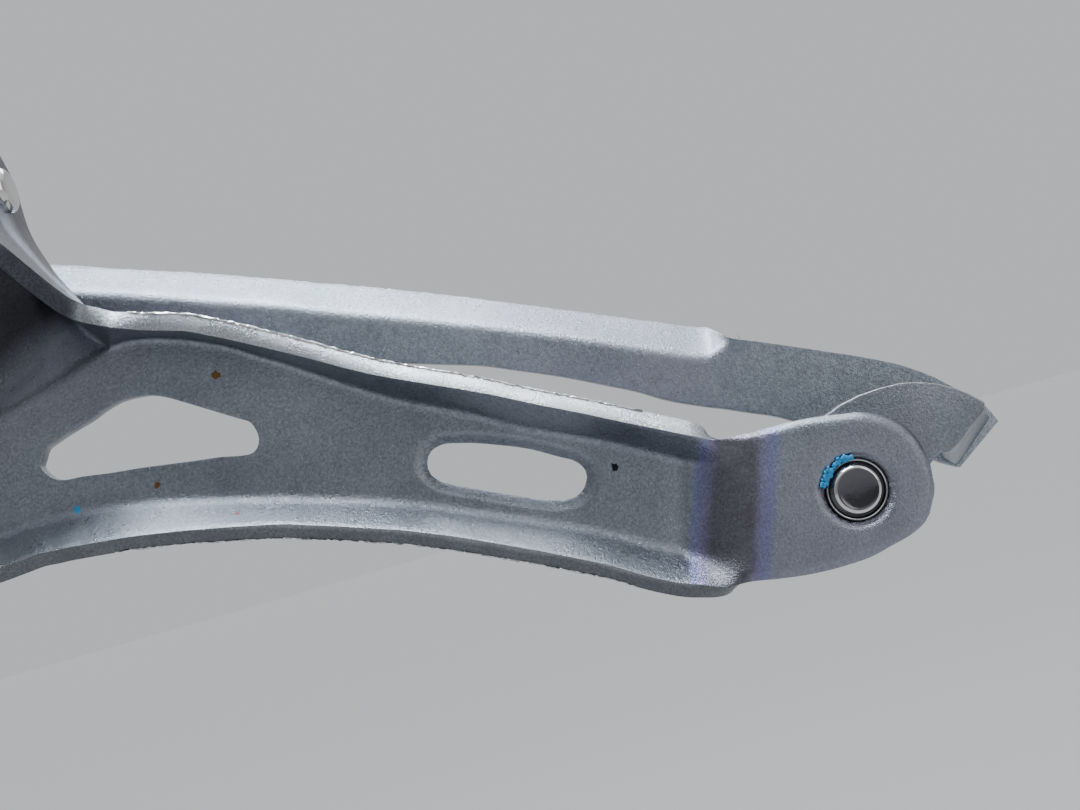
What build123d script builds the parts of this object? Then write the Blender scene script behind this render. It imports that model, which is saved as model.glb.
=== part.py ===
from build123d import *
import math
import os

# Front derailleur with a braze-on fixing, millimetres.
# Frame: X forward along the link pivots, Y to the left (towards the bicycle frame), Z up along the seat tube.
# Origin: bottom of the concave saddle, on the axis of the M5 fixing thread.

# ---- driving dimensions ----
SHEET = 1.4  # cage sheet thickness
LINK_L_Y, LINK_L_Z = 6.4, 21.0  # pivot to pivot of both links at rest, in Y and in Z
PIN_R = 2.0
RUN_FIT = 0.05  # radial clearance of a turning hole
SEAT_FIT = 0.02  # radial clearance of a fixed hole
OUT_LOW = (-20.0, -21.0)  # outer link lower pivot (Y, Z)
IN_LOW = (-8.0, -22.0)  # inner link lower pivot
OUT_UP = (OUT_LOW[0] - LINK_L_Y, OUT_LOW[1] + LINK_L_Z)
IN_UP = (IN_LOW[0] - LINK_L_Y, IN_LOW[1] + LINK_L_Z)
LINK_LEN = math.hypot(LINK_L_Y, LINK_L_Z)
LINK_TILT = math.degrees(math.asin(LINK_L_Y / LINK_LEN))
EAR_OUT, EAR_IN = 13.5, 12.1  # cage ears, distance from X = 0
CHEEK_OUT, CHEEK_IN = 10.9, 9.3  # link cheeks
BODY_HALF = 8.2  # body half width
SADDLE_R = 17.5  # concave saddle for a 34.9 mm hanger face
FIX_R = 2.5  # M5 fixing thread
FIX_DEPTH = 9.0
WEB_Y = -16.0  # frame-side face of the inner plate's web
CREST_Y = -13.2  # frame-side edge of its flanges
LOBE_Y = -13.0  # frame-side face of its tail lobe
OUTER_Y = -28.5  # inner face of the outer plate
OUTER_EDGE_Y = -31.5
SCREW_XZ = (-73.04, -63.61)  # tail screw axis

# Inner plate, one row for each station from the rear ear to the tail:
# flange top outside, flange top inside, top bend, bottom bend, crest inside, crest outside (X, Z)
INNER = [
    ((-20.98, -33.97), (-20.80, -35.52), (-19.68, -36.63), (-16.36, -48.87), (-16.49, -51.45), (-15.98, -52.46)),
    ((-23.20, -34.77), (-22.98, -36.38), (-22.16, -36.59), (-18.72, -49.24), (-18.80, -51.75), (-18.29, -52.84)),
    ((-26.44, -35.98), (-26.25, -37.40), (-25.51, -37.59), (-22.13, -49.96), (-22.17, -52.32), (-21.67, -53.44)),
    ((-29.69, -37.73), (-29.50, -39.04), (-28.88, -39.15), (-25.65, -50.89), (-25.66, -53.03), (-25.19, -54.08)),
    ((-33.47, -39.92), (-33.28, -41.14), (-32.65, -41.61), (-29.77, -52.00), (-29.72, -53.96), (-29.30, -54.97)),
    ((-37.36, -42.28), (-37.15, -43.42), (-36.52, -44.31), (-34.01, -53.32), (-33.83, -55.33), (-33.46, -56.26)),
    ((-41.52, -44.63), (-41.36, -45.65), (-40.70, -47.05), (-38.51, -54.83), (-38.21, -56.87), (-37.83, -57.91)),
    ((-45.93, -46.45), (-45.63, -47.66), (-45.03, -49.23), (-42.91, -56.69), (-42.51, -58.68), (-42.17, -59.72)),
    ((-50.25, -48.39), (-49.85, -49.82), (-49.28, -51.70), (-47.28, -58.69), (-46.74, -60.70), (-46.46, -61.64)),
    ((-54.47, -50.66), (-54.07, -52.00), (-53.63, -53.77), (-51.65, -60.64), (-50.94, -62.83), (-50.68, -63.81)),
    ((-58.66, -53.04), (-58.26, -54.23), (-57.93, -56.04), (-55.90, -63.02), (-55.07, -65.22), (-54.81, -66.30)),
    ((-62.20, -54.82), (-61.77, -56.03), (-61.42, -58.22), (-59.42, -65.06), (-58.68, -66.60), (-58.50, -67.50)),
    ((-64.30, -55.60), (-64.10, -56.40), (-63.90, -58.00), (-61.20, -65.60), (-60.50, -67.20), (-60.40, -68.00)),
    ((-66.95, -56.95), (-66.90, -57.40), (-66.80, -58.20), (-63.60, -66.90), (-63.40, -67.70), (-63.35, -68.20)),
    ((-68.20, -56.95), (-68.15, -57.40), (-68.05, -58.20), (-64.60, -67.30), (-64.45, -68.05), (-64.40, -68.45)),
]
STEP_Y = {12: (-14.7, -13.1), 13: (LOBE_Y, LOBE_Y), 14: (LOBE_Y - 0.01, LOBE_Y - 0.015)}  # web and flange edge of the rows on the step up to the lobe
# Inner plate forward of that: web top, bottom bend, crest inside, crest outside (X, Z)
INNER_FRONT = [
    ((-21.0, -38.4), (-17.54, -49.05), (-17.65, -51.60), (-17.14, -52.65)),
    ((-19.68, -38.2), (-16.36, -48.87), (-16.49, -51.45), (-15.98, -52.46)),
    ((-16.69, -37.61), (-13.75, -48.55), (-13.92, -51.19), (-13.43, -52.06)),
    ((-13.21, -38.63), (-10.60, -48.38), (-10.87, -50.95), (-10.35, -51.88)),
    ((-9.85, -39.53), (-7.41, -48.70), (-7.78, -51.18), (-7.31, -51.82)),
    ((2.0, -40.2), (2.5, -48.9), (2.4, -51.3), (2.5, -52.0)),
    ((13.5, -39.5), (13.5, -49.9), (13.3, -52.3), (13.5, -53.0)),
    ((20.0, -41.5), (20.0, -51.0), (19.8, -53.3), (20.0, -54.0)),
    ((25.5, -46.5), (25.5, -52.6), (25.4, -54.6), (25.6, -55.3)),
]
TRIANGLE = [(-11.88, -44.23), (-12.61, -43.04), (-13.53, -42.65), (-16.65, -41.73), (-19.34, -40.92), (-20.56, -40.95), (-21.75, -41.12), (-22.85, -41.6), (-23.91, -42.24), (-26.71, -44.03), (-28.81, -45.38), (-29.12, -46.95), (-28.39, -47.81), (-27.73, -47.79), (-24.2, -47.19), (-19.47, -46.49), (-14.72, -45.87), (-12.98, -45.62), (-12.13, -44.8)]
SLOT = [(-41.42, -52.37), (-42.8, -51.29), (-44.37, -51.57), (-47.37, -52.6), (-49.57, -53.56), (-52.74, -55.45), (-53.34, -56.78), (-52.71, -57.83), (-51.52, -58.23), (-49.24, -57.58), (-46.33, -56.25), (-43.44, -54.84), (-41.58, -53.57)]
LOBE = [(-67.5, -57.9), (-67.9, -57.16), (-69.47, -57.16), (-71.44, -57.33), (-73.44, -57.66), (-75.12, -57.98), (-76.67, -58.74), (-77.9, -59.74), (-78.68, -61.17), (-79.0, -62.55), (-79.09, -64.1), (-78.81, -65.3), (-78.31, -66.44), (-77.43, -67.47), (-76.2, -68.08), (-74.55, -68.48), (-72.66, -68.9), (-70.54, -69.01), (-68.0, -68.92), (-65.52, -68.6), (-65.0, -67.9)]
# Outer plate: flange edge, bend, lower edge (X, Z), nose to tail
OUTER = [
    ((25.5, -25.0), (25.3, -27.6), (25.0, -47.0)),
    ((20.0, -21.6), (19.6, -24.4), (17.5, -46.0)),
    ((10.0, -20.8), (9.6, -23.8), (9.0, -43.0)),
    ((-1.34, -22.02), (-1.78, -25.18), (1.2, -40.32)),
    ((-8.29, -23.92), (-8.59, -26.95), (-5.92, -38.86)),
    ((-14.2, -25.8), (-15.0, -28.88), (-12.6, -37.45)),
    ((-20.5, -28.05), (-21.2, -31.05), (-19.38, -37.57)),
    ((-24.96, -29.55), (-25.5, -32.70), (-23.83, -37.93)),
    ((-33.83, -32.94), (-33.54, -35.76), (-32.41, -39.84)),
    ((-40.7, -35.5), (-40.5, -38.45), (-39.35, -42.38)),
    ((-46.73, -37.95), (-46.3, -40.8), (-45.3, -44.30)),
    ((-53.14, -40.73), (-52.6, -43.40), (-51.6, -46.80)),
    ((-59.46, -43.48), (-58.8, -46.15), (-57.52, -49.70)),
    ((-64.0, -45.40), (-63.3, -48.20), (-61.6, -52.10)),
    ((-67.28, -46.85), (-66.76, -49.69), (-65.0, -53.70)),
]
OUTER_TAIL = [(-66.76, -49.69), (-69.08, -48.62), (-73.45, -50.6), (-77.32, -52.35), (-83.15, -55.22), (-86.04, -57.51), (-88.97, -60.54), (-89.9, -62.3), (-89.79, -63.24), (-85.35, -65.24), (-82.23, -63.16), (-76.72, -60.22), (-71.79, -56.8), (-66.57, -54.39), (-65.0, -53.70)]
HOOK_TAB = [(-72.56, -57.45), (-73.87, -56.98), (-75.61, -56.65), (-77.27, -56.56), (-78.89, -56.62), (-80.42, -56.97), (-81.88, -57.56), (-82.92, -58.18), (-83.92, -58.96), (-84.84, -59.96), (-84.68, -60.48), (-83.14, -61.51), (-82.27, -62.24), (-81.1, -62.88), (-80.3, -62.7), (-79.3, -63.4), (-77.5, -66.6), (-74.0, -68.0), (-70.2, -67.2), (-68.2, -64.0), (-68.6, -60.0)]
# Rear ear: rows down the ear from its top: back edge (X, Y, Z), front edge (X, Y, Z), step in X and Z to the inner face
EAR = [
    ((-13.5, -25.4, -16.4), (-13.5, -3.6, -16.4), 1.4, 0.0),
    ((-13.5, -25.4, -24.0), (-13.5, -3.6, -24.0), 1.4, 0.0),
    ((-14.1, -25.4, -26.6), (-14.6, -5.0, -26.6), 1.4, -0.3),
    ((-14.9, -24.6, -28.8), (-15.8, -6.6, -28.6), 1.4, -0.6),
    ((-15.8, -22.6, -30.9), (-16.9, -9.0, -30.2), 1.35, -0.8),
    ((-17.1, -19.8, -33.2), (-18.0, -11.4, -32.0), 1.2, -1.0),
    ((-18.9, -17.7, -35.2), (-19.6, -13.0, -33.5), 0.7, -1.0),
    ((-21.6, -16.7, -36.1), (-22.2, -13.9, -34.75), 0.2, -0.5),
]


# ---- helpers ----
def prism_y(points, y0, y1):
    wire = Wire.make_polygon([(x, y0, z) for x, z in points], close=True)
    return Solid.extrude(Face(wire), Vector(0, y1 - y0, 0))


def prism_x(points, x0, x1):
    wire = Wire.make_polygon([(x0, y, z) for y, z in points], close=True)
    return Solid.extrude(Face(wire), Vector(x1 - x0, 0, 0))


def prism_z(points, z0, z1):
    wire = Wire.make_polygon([(x, y, z0) for x, y in points], close=True)
    return Solid.extrude(Face(wire), Vector(0, 0, z1 - z0))


def skin(rows):
    """A closed polyhedron through rows of points, each row one cross-section with the same number of corners."""
    solid = skin_once(rows)
    if solid.volume < 0:
        solid = skin_once([list(reversed(row)) for row in rows])
    return solid.clean()


def skin_once(rows):
    n = len(rows[0])
    faces = []

    def tri(a, b, c):
        ab, ac = Vector(*b) - Vector(*a), Vector(*c) - Vector(*a)
        if ab.cross(ac).length > 1e-7:
            faces.append(Face(Wire.make_polygon([a, b, c], close=True)))

    for one, two in zip(rows, rows[1:]):
        for i in range(n):
            j = (i + 1) % n
            tri(one[i], one[j], two[j])
            tri(one[i], two[j], two[i])
    for row in (list(reversed(rows[0])), list(rows[-1])):
        if planar(row):
            faces.append(Face(Wire.make_polygon(row, close=True)))
        else:
            fan(row, tri)
    return Solid(Shell(faces))


def planar(row):
    a, b, c = (Vector(*p) for p in row[:3])
    normal = (b - a).cross(c - a)
    if normal.length < 1e-9:
        return False
    return all(abs((Vector(*p) - a).dot(normal.normalized())) < 1e-6 for p in row)


def fan(row, tri):
    """End cap of a thin section whose second half runs back along its first."""
    n = len(row)
    for k in range(n // 2 - 1):
        a, b, c, d = row[k], row[k + 1], row[n - 2 - k], row[n - 1 - k]
        tri(a, b, c)
        tri(a, c, d)


def rod(start, direction, radius, length):
    return Solid.make_cylinder(radius, length, Plane(origin=start, z_dir=direction))


def bar_x(y, z, x0, x1, radius):
    return rod((x0, y, z), (1, 0, 0), radius, x1 - x0)


def box(x0, x1, y0, y1, z0, z1):
    return Pos((x0 + x1) / 2, (y0 + y1) / 2, (z0 + z1) / 2) * Solid.make_box(
        x1 - x0, y1 - y0, z1 - z0, Plane((-(x1 - x0) / 2, -(y1 - y0) / 2, -(z1 - z0) / 2))
    )


def fuse(*solids):
    out = solids[0]
    for s in solids[1:]:
        out = out + s
    return out


def save(shape, name):
    shape.label = name
    export_step(shape, f"parts/{name}.step")
    print(name, round(shape.volume, 1), len(shape.solids()))


def mid(a, b, t=0.5):
    return (a[0] + (b[0] - a[0]) * t, a[1] + (b[1] - a[1]) * t)


def shift(p, a, b, t=0.5):
    """p moved by a share of the step from a to b."""
    return (p[0] + (b[0] - a[0]) * t, p[1] + (b[1] - a[1]) * t)


def at(p, y):
    return (p[0], y, p[1])


os.makedirs("parts", exist_ok=True)

# ---- inner cage plate ----
rows = []
for k, (to, ti, tb, bb, ci, co) in enumerate(INNER):
    wy, cy = STEP_Y.get(k, (WEB_Y, CREST_Y))
    rows.append([
        at(ti, cy), at(tb, wy), at(bb, wy), at(ci, cy),
        at(co, cy - 0.8), at(shift(bb, ci, co), wy - SHEET),
        at(shift(tb, ti, to), wy - SHEET), at(to, cy - 0.8),
    ])
channel = skin(rows)
rows = []
for top, bb, ci, co in INNER_FRONT:
    bi, cn, cx = shift(bb, ci, co, 0.04), shift(ci, ci, co, 0.04), shift(co, co, ci, 0.04)
    rows.append([
        at(top, WEB_Y - 0.03), at(bi, WEB_Y - 0.03), at(cn, CREST_Y - 0.05), at(cx, CREST_Y - 0.77),
        at(shift(bb, ci, co, 0.46), WEB_Y - SHEET + 0.03), at(top, WEB_Y - SHEET + 0.03),
    ])
front = skin(rows)
lobe = prism_y(LOBE, LOBE_Y - SHEET + 0.03, LOBE_Y - 0.03)
back = prism_x(
    [(WEB_Y - 0.06, -41.0), (WEB_Y - SHEET + 0.06, -41.6), (-25.4, -33.0), (-25.4, -20.0), (-24.0, -20.0), (-24.0, -32.2), (WEB_Y - 0.06, -39.2)],
    -EAR_IN - 0.3, EAR_OUT - 0.3,
)
rows = []
for bk, fr, dx, dz in EAR:
    rows.append([bk, fr, (fr[0] + dx, fr[1], fr[2] + dz), (bk[0] + dx, bk[1], bk[2] + dz)])
ear_rear = skin(rows)
gusset = skin([
    [(-13.5, -25.4, -24.0), (-13.5, -24.0, -24.0), (-11.9, -24.0, -24.0), (-11.9, -25.4, -24.0)],
    [(-15.2, -23.6, -29.6), (-15.2, -22.2, -29.6), (-11.9, -24.0, -31.8), (-11.9, -25.4, -32.6)],
    [(-18.9, WEB_Y - SHEET + 0.1, -34.0), (-18.9, WEB_Y - 0.1, -34.1), (-11.9, WEB_Y - 0.1, -39.5), (-11.9, WEB_Y - SHEET + 0.1, -41.1)],
    [(-20.9, WEB_Y - SHEET + 0.1, -37.2), (-20.9, WEB_Y - 0.1, -37.2), (-12.9, WEB_Y - 0.1, -40.6), (-12.9, WEB_Y - SHEET + 0.1, -41.6)],
])
ear_front = prism_x([(-25.4, -40.5), (-25.4, -19.5), (-22.5, -16.4), (-6.0, -16.9), (-3.6, -19.4), (-3.6, -26.0), (-13.0, -37.0), (WEB_Y - 0.1, -42.0), (WEB_Y - SHEET + 0.1, -42.0)], EAR_IN, EAR_OUT)
inner = fuse(channel, front, lobe, back, ear_rear, gusset, ear_front)
inner = inner - prism_y(TRIANGLE, -18.5, -15.0) - prism_y(SLOT, -18.5, -15.0)
inner = inner - rod((SCREW_XZ[0], -15.5, SCREW_XZ[1]), (0, 1, 0), FIX_R, 4)
for y, z in (IN_LOW, OUT_LOW):
    inner = inner - bar_x(y, z, -16, 16, PIN_R + SEAT_FIT)
RIVETS = [(-4.5, -29.0), (5.5, -29.0)]
for x, z in RIVETS:
    inner = inner - rod((x, -26, z), (0, 1, 0), 1.52, 3)
save(inner, "inner_cage_plate")

# ---- outer cage plate with its folded tail hook and its riveted boss ----
rows = []
for top, bend, low in OUTER:
    rows.append([
        at(top, OUTER_EDGE_Y), at(bend, OUTER_Y), at(low, OUTER_Y), at(low, OUTER_Y - SHEET),
        at(shift(bend, top, low, 0.12), OUTER_Y - SHEET), at(shift(top, bend, top, -0.30), OUTER_EDGE_Y - 0.6),
    ])
panel = skin(rows)
tail = prism_y(OUTER_TAIL, OUTER_Y - SHEET, OUTER_Y)
hook_tab = prism_y(HOOK_TAB, LOBE_Y - 2 * SHEET - 0.05, LOBE_Y - SHEET - 0.05)
TAB_Y = LOBE_Y - SHEET - 0.05
hook_wall = skin([
    [(-84.84, TAB_Y, -59.96), (-81.10, TAB_Y, -62.88), (-80.2, TAB_Y - 0.3, -61.8), (-83.9, TAB_Y - 0.3, -58.95)],
    [(-86.6, -21.0, -60.2), (-83.0, -21.0, -63.6), (-82.1, -21.0, -62.5), (-85.6, -21.0, -59.2)],
    [(-89.70, OUTER_Y - SHEET, -62.0), (-85.45, OUTER_Y - SHEET, -65.2), (-84.3, OUTER_Y - SHEET, -64.2), (-88.4, OUTER_Y - SHEET, -60.9)],
])
outer = panel - box(-9.9, 10.9, -33, -27, -31.4, -27.0)
boss = prism_z(
    [(-11.2, -28.5), (-8.2, -25.45), (8.8, -25.45), (11.8, -28.5), (11.8, -29.9), (11.0, -29.9), (8.0, -26.85), (-7.4, -26.85), (-10.4, -29.9), (-11.2, -29.9)],
    -31.4, -27.0,
)
outer = fuse(outer, boss, tail, hook_tab, hook_wall)
outer = outer - rod((SCREW_XZ[0], -16.5, SCREW_XZ[1]), (0, 1, 0), 2.6, 4)
for x, z in RIVETS:
    outer = outer - rod((x, -27.5, z), (0, 1, 0), 1.52, 3)
save(outer, "outer_cage_plate")

# ---- tail screw, head on the drive side ----
sx, sz = SCREW_XZ
screw = rod((sx, TAB_Y - SHEET - 0.5, sz), (0, 1, 0), FIX_R - 0.03, LOBE_Y - (TAB_Y - SHEET) + 0.65)
screw = chamfer(screw.edges().sort_by(Axis.Y)[-1], 0.45)
head = rod((sx, TAB_Y - SHEET - 2.4, sz), (0, 1, 0), 4.1, 2.38)
head = fillet(head.edges().sort_by(Axis.Y)[0], 1.1)
hexa = prism_y([(sx + 1.73 * math.cos(math.radians(60 * k)), sz + 1.73 * math.sin(math.radians(60 * k))) for k in range(6)], TAB_Y - SHEET - 2.5, TAB_Y - SHEET - 0.9)
save((screw + head) - hexa, "cage_tail_screw")

# ---- rivets between the two plates ----
rivets = []
for x, z in RIVETS:
    shank = rod((x, -27.4, z), (0, 1, 0), 1.5, 4.0)
    h1 = fillet(rod((x, -27.75, z), (0, 1, 0), 2.6, 0.88).edges().sort_by(Axis.Y)[0], 0.5)
    h2 = fillet(rod((x, -23.98, z), (0, 1, 0), 2.6, 0.8).edges().sort_by(Axis.Y)[-1], 0.5)
    rivets.append(shank + h1 + h2)
save(Compound(children=rivets), "cage_rivets")


# ---- links ----
def frame_at(pivot):
    return Pos(0, pivot[0], pivot[1]) * Rot(LINK_TILT, 0, 0)


def cheek(x0, x1, top):
    c = box(x0, x1, -2.6, 2.6, -LINK_LEN, top)
    return c + bar_x(0, -LINK_LEN, x0, x1, 3.4) + bar_x(0, 0, x0, x1, 3.6)


def link(pivot, top):
    body = fuse(cheek(-CHEEK_OUT, -CHEEK_IN, top), cheek(CHEEK_IN, CHEEK_OUT, top), box(-CHEEK_IN - 0.2, CHEEK_IN + 0.2, -0.8, 0.8, -13.6, -7.2))
    return body


def finish_link(body):
    for z in (0, -LINK_LEN):
        body = body - bar_x(0, z, -20, 20, PIN_R + RUN_FIT)
    return body


inner_link = finish_link(link(IN_UP, 0.0))
save(frame_at(IN_UP) * inner_link, "inner_link")
ARM_TOP = 19.0
outer_link = link(OUT_UP, 13.0) + box(-CHEEK_IN - 0.2, CHEEK_IN + 0.2, -0.9, 0.9, 12.2, 13.6)
outer_link = outer_link + prism_y([(-CHEEK_OUT, 13.0), (CHEEK_OUT, 13.0), (CHEEK_OUT, 15.0), (6.5, ARM_TOP), (-6.5, ARM_TOP), (-CHEEK_OUT, 15.0)], -0.9, 0.9)
outer_link = finish_link(outer_link)
outer_link = outer_link - rod((0, -3, 15.6), (0, 1, 0), FIX_R + SEAT_FIT, 6)
save(frame_at(OUT_UP) * outer_link, "outer_link")

# ---- cable anchor on the arm of the outer link ----
washer = rod((0, -2.42, 15.6), (0, 1, 0), 4.6, 1.5) - rod((0, -3, 15.6), (0, 1, 0), FIX_R + SEAT_FIT, 3)
washer = washer - rod((-6, -0.92, 18.4), (1, 0, 0), 0.75, 12)
save(frame_at(OUT_UP) * washer, "cable_anchor_washer")
bolt = rod((0, -2.44, 15.6), (0, 1, 0), FIX_R, 5.2)
bolt = bolt + fillet(rod((0, -6.44, 15.6), (0, 1, 0), 4.0, 4.0).edges().sort_by(Axis.Y)[0], 0.8)
bolt = bolt - prism_y([(2.31 * math.cos(math.radians(60 * k)), 15.6 + 2.31 * math.sin(math.radians(60 * k))) for k in range(6)], -6.6, -4.2)
save(frame_at(OUT_UP) * bolt, "cable_anchor_bolt")

# ---- mount body ----
LIMIT_Y, LIMIT_X = -20.4, 4.5
profile = [(1.9, -7.0), (1.9, 7.0), (-9.5, 7.0), (-13.0, 6.0), (-28.0, 6.0), (-31.0, 3.0), (-31.0, -3.0), (-28.5, -5.5), (-11.5, -5.5), (-9.0, -7.0)]
body = prism_x(profile, -BODY_HALF, BODY_HALF)
body = body - rod((0, SADDLE_R, -10), (0, 0, 1), SADDLE_R, 20)
for y, z in (IN_UP, OUT_UP):
    body = body - bar_x(y, z, -20, 20, PIN_R + SEAT_FIT)
body = body - rod((0, -FIX_DEPTH, 0), (0, 1, 0), FIX_R, 14)
for s in (-1, 1):
    body = body - rod((s * LIMIT_X, LIMIT_Y, -8), (0, 0, 1), 2.02, 20)
save(body, "mount_body")

# ---- limit screws and their nylon retainer ----
plate = box(-7.6, 7.6, -22.9, -17.9, 6.02, 7.4)
for s in (-1, 1):
    plate = plate - rod((s * LIMIT_X, LIMIT_Y, 5), (0, 0, 1), 2.02, 5)
save(plate, "limit_screw_retainer")
for s, name in ((-1, "low_limit_screw"), (1, "high_limit_screw")):
    shaft = rod((s * LIMIT_X, LIMIT_Y, -8.6), (0, 0, 1), 2.0, 16.5)
    shaft = chamfer(shaft.edges().sort_by(Axis.Z)[0], 0.4)
    cap = fillet(rod((s * LIMIT_X, LIMIT_Y, 7.7), (0, 0, 1), 2.4, 2.2).edges().sort_by(Axis.Z)[-1], 0.4)
    shaft = shaft + cap
    shaft = shaft - box(s * LIMIT_X - 0.35, s * LIMIT_X + 0.35, LIMIT_Y - 1.7, LIMIT_Y + 1.7, 9.0, 11) - box(s * LIMIT_X - 1.7, s * LIMIT_X + 1.7, LIMIT_Y - 0.35, LIMIT_Y + 0.35, 9.0, 11)
    save(shaft, name)


# ---- pivot pins, domed at the rear, clipped at the front ----
def pin(pivot, x_rear, x_groove):
    y, z = pivot
    p = bar_x(y, z, x_rear - 0.9, x_groove + 1.6, PIN_R)
    p = fillet(p.edges().filter_by(GeomType.CIRCLE).sort_by(Axis.X)[0], 0.85)
    ring = bar_x(y, z, x_groove, x_groove + 0.8, PIN_R + 0.5) - bar_x(y, z, x_groove - 1, x_groove + 2, PIN_R - 0.4)
    return p - ring


def clip(pivot, x_groove):
    y, z = pivot
    c = bar_x(y, z, x_groove + 0.05, x_groove + 0.75, 3.7) - bar_x(y, z, x_groove - 1, x_groove + 2, PIN_R - 0.38)
    return c - box(x_groove - 1, x_groove + 2, y - 1.3, y + 1.3, z, z + 6)


LOW_GROOVE, UP_GROOVE = EAR_OUT + 0.02, CHEEK_OUT + 0.12
save(pin(IN_LOW, -EAR_OUT, LOW_GROOVE), "inner_link_lower_pin")
save(pin(OUT_LOW, -EAR_OUT, LOW_GROOVE), "outer_link_lower_pin")
save(pin(IN_UP, -CHEEK_OUT - 0.12, UP_GROOVE), "inner_link_upper_pin")
save(pin(OUT_UP, -CHEEK_OUT - 0.12, UP_GROOVE), "outer_link_upper_pin")
save(Compound(children=[clip(IN_LOW, LOW_GROOVE), clip(OUT_LOW, LOW_GROOVE)]), "lower_pin_clips")
save(Compound(children=[clip(IN_UP, UP_GROOVE), clip(OUT_UP, UP_GROOVE)]), "upper_pin_clips")


def thrust(pivot, x0, x1):
    y, z = pivot
    return bar_x(y, z, x0, x1, 3.8) - bar_x(y, z, x0 - 1, x1 + 1, PIN_R + RUN_FIT)


save(Compound(children=[thrust(p, s0, s1) for p in (IN_LOW, OUT_LOW) for s0, s1 in ((-EAR_IN + 0.05, -CHEEK_OUT - 0.1), (CHEEK_OUT + 0.1, EAR_IN - 0.05))]), "lower_thrust_washers")
save(Compound(children=[thrust(p, s0, s1) for p in (IN_UP, OUT_UP) for s0, s1 in ((-CHEEK_IN + 0.1, -BODY_HALF - 0.05), (BODY_HALF + 0.05, CHEEK_IN - 0.1))]), "upper_thrust_washers")

# ---- return spring on its bush, round the inner link's lower pin ----
bush = bar_x(IN_LOW[0], IN_LOW[1], -8.2, 8.2, 2.6) - bar_x(IN_LOW[0], IN_LOW[1], -10, 10, PIN_R + RUN_FIT)
save(bush, "spring_bush")
coil = bar_x(IN_LOW[0], IN_LOW[1], -6.6, 6.6, 3.9) - bar_x(IN_LOW[0], IN_LOW[1], -10, 10, 2.7)
coil = coil + rod((-6.0, IN_LOW[0] - 3.3, IN_LOW[1] + 0.5), (0, 0, -1), 0.5, 9.0)
coil = coil + rod((6.0, IN_LOW[0] + 3.3, IN_LOW[1] - 0.5), (0, 0, 1), 0.5, 4.4)
save(coil, "return_spring")
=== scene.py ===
import bpy
import bmesh
import math
import random
import numpy as np
from mathutils import Matrix, Vector

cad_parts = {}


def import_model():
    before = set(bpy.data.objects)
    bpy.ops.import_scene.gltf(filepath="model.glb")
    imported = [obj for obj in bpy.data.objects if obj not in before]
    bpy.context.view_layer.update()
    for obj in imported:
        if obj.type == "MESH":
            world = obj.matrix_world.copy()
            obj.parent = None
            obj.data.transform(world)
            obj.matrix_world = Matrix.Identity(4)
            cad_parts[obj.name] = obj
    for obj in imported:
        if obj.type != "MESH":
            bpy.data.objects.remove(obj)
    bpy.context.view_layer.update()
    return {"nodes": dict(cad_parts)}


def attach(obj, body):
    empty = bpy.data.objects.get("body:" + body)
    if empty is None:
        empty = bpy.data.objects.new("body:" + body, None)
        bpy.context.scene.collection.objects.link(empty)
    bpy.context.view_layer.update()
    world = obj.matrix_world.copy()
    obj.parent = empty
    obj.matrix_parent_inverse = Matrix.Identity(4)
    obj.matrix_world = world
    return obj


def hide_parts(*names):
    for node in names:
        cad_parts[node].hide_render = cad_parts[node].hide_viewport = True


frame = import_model()
MM = 0.001
rnd = random.Random(7)


# ------------------------------------------------------------------ materials
def new_mat(name):
    m = bpy.data.materials.new(name)
    m.use_nodes = True
    nt = m.node_tree
    for n in list(nt.nodes):
        nt.nodes.remove(n)
    out = nt.nodes.new("ShaderNodeOutputMaterial")
    bsdf = nt.nodes.new("ShaderNodeBsdfPrincipled")
    nt.links.new(bsdf.outputs["BSDF"], out.inputs["Surface"])
    return m, nt, bsdf


def coords(nt, scale=(1, 1, 1)):
    tc = nt.nodes.new("ShaderNodeTexCoord")
    mp = nt.nodes.new("ShaderNodeMapping")
    mp.inputs["Scale"].default_value = scale
    nt.links.new(tc.outputs["Object"], mp.inputs["Vector"])
    return mp.outputs["Vector"]


def noise(nt, vec, scale, detail=4.0, rough=0.55):
    n = nt.nodes.new("ShaderNodeTexNoise")
    n.inputs["Scale"].default_value = scale
    n.inputs["Detail"].default_value = detail
    n.inputs["Roughness"].default_value = rough
    nt.links.new(vec, n.inputs["Vector"])
    return n.outputs["Fac"]


def ramp(nt, fac, stops):
    r = nt.nodes.new("ShaderNodeValToRGB")
    el = r.color_ramp.elements
    while len(el) > 1:
        el.remove(el[-1])
    el[0].position, el[0].color = stops[0][0], (*stops[0][1], 1)
    for pos, col in stops[1:]:
        e = el.new(pos)
        e.color = (*col, 1)
    nt.links.new(fac, r.inputs["Fac"])
    return r.outputs["Color"]


def remap(nt, fac, a, b, lo, hi):
    n = nt.nodes.new("ShaderNodeMapRange")
    n.inputs["From Min"].default_value = a
    n.inputs["From Max"].default_value = b
    n.inputs["To Min"].default_value = lo
    n.inputs["To Max"].default_value = hi
    nt.links.new(fac, n.inputs["Value"])
    return n.outputs["Result"]


def mix(nt, fac, a, b, mode="MIX"):
    n = nt.nodes.new("ShaderNodeMix")
    n.data_type = "RGBA"
    n.blend_type = mode
    for key, val in (("Factor", fac), ("A", a), ("B", b)):
        sock = [s for s in n.inputs if s.name == key and (s.type == "RGBA" or key == "Factor" and s.type == "VALUE")][0]
        if isinstance(val, (int, float)):
            sock.default_value = val
        elif isinstance(val, tuple):
            sock.default_value = (*val, 1)
        else:
            nt.links.new(val, sock)
    return [s for s in n.outputs if s.type == "RGBA"][0]


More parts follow.
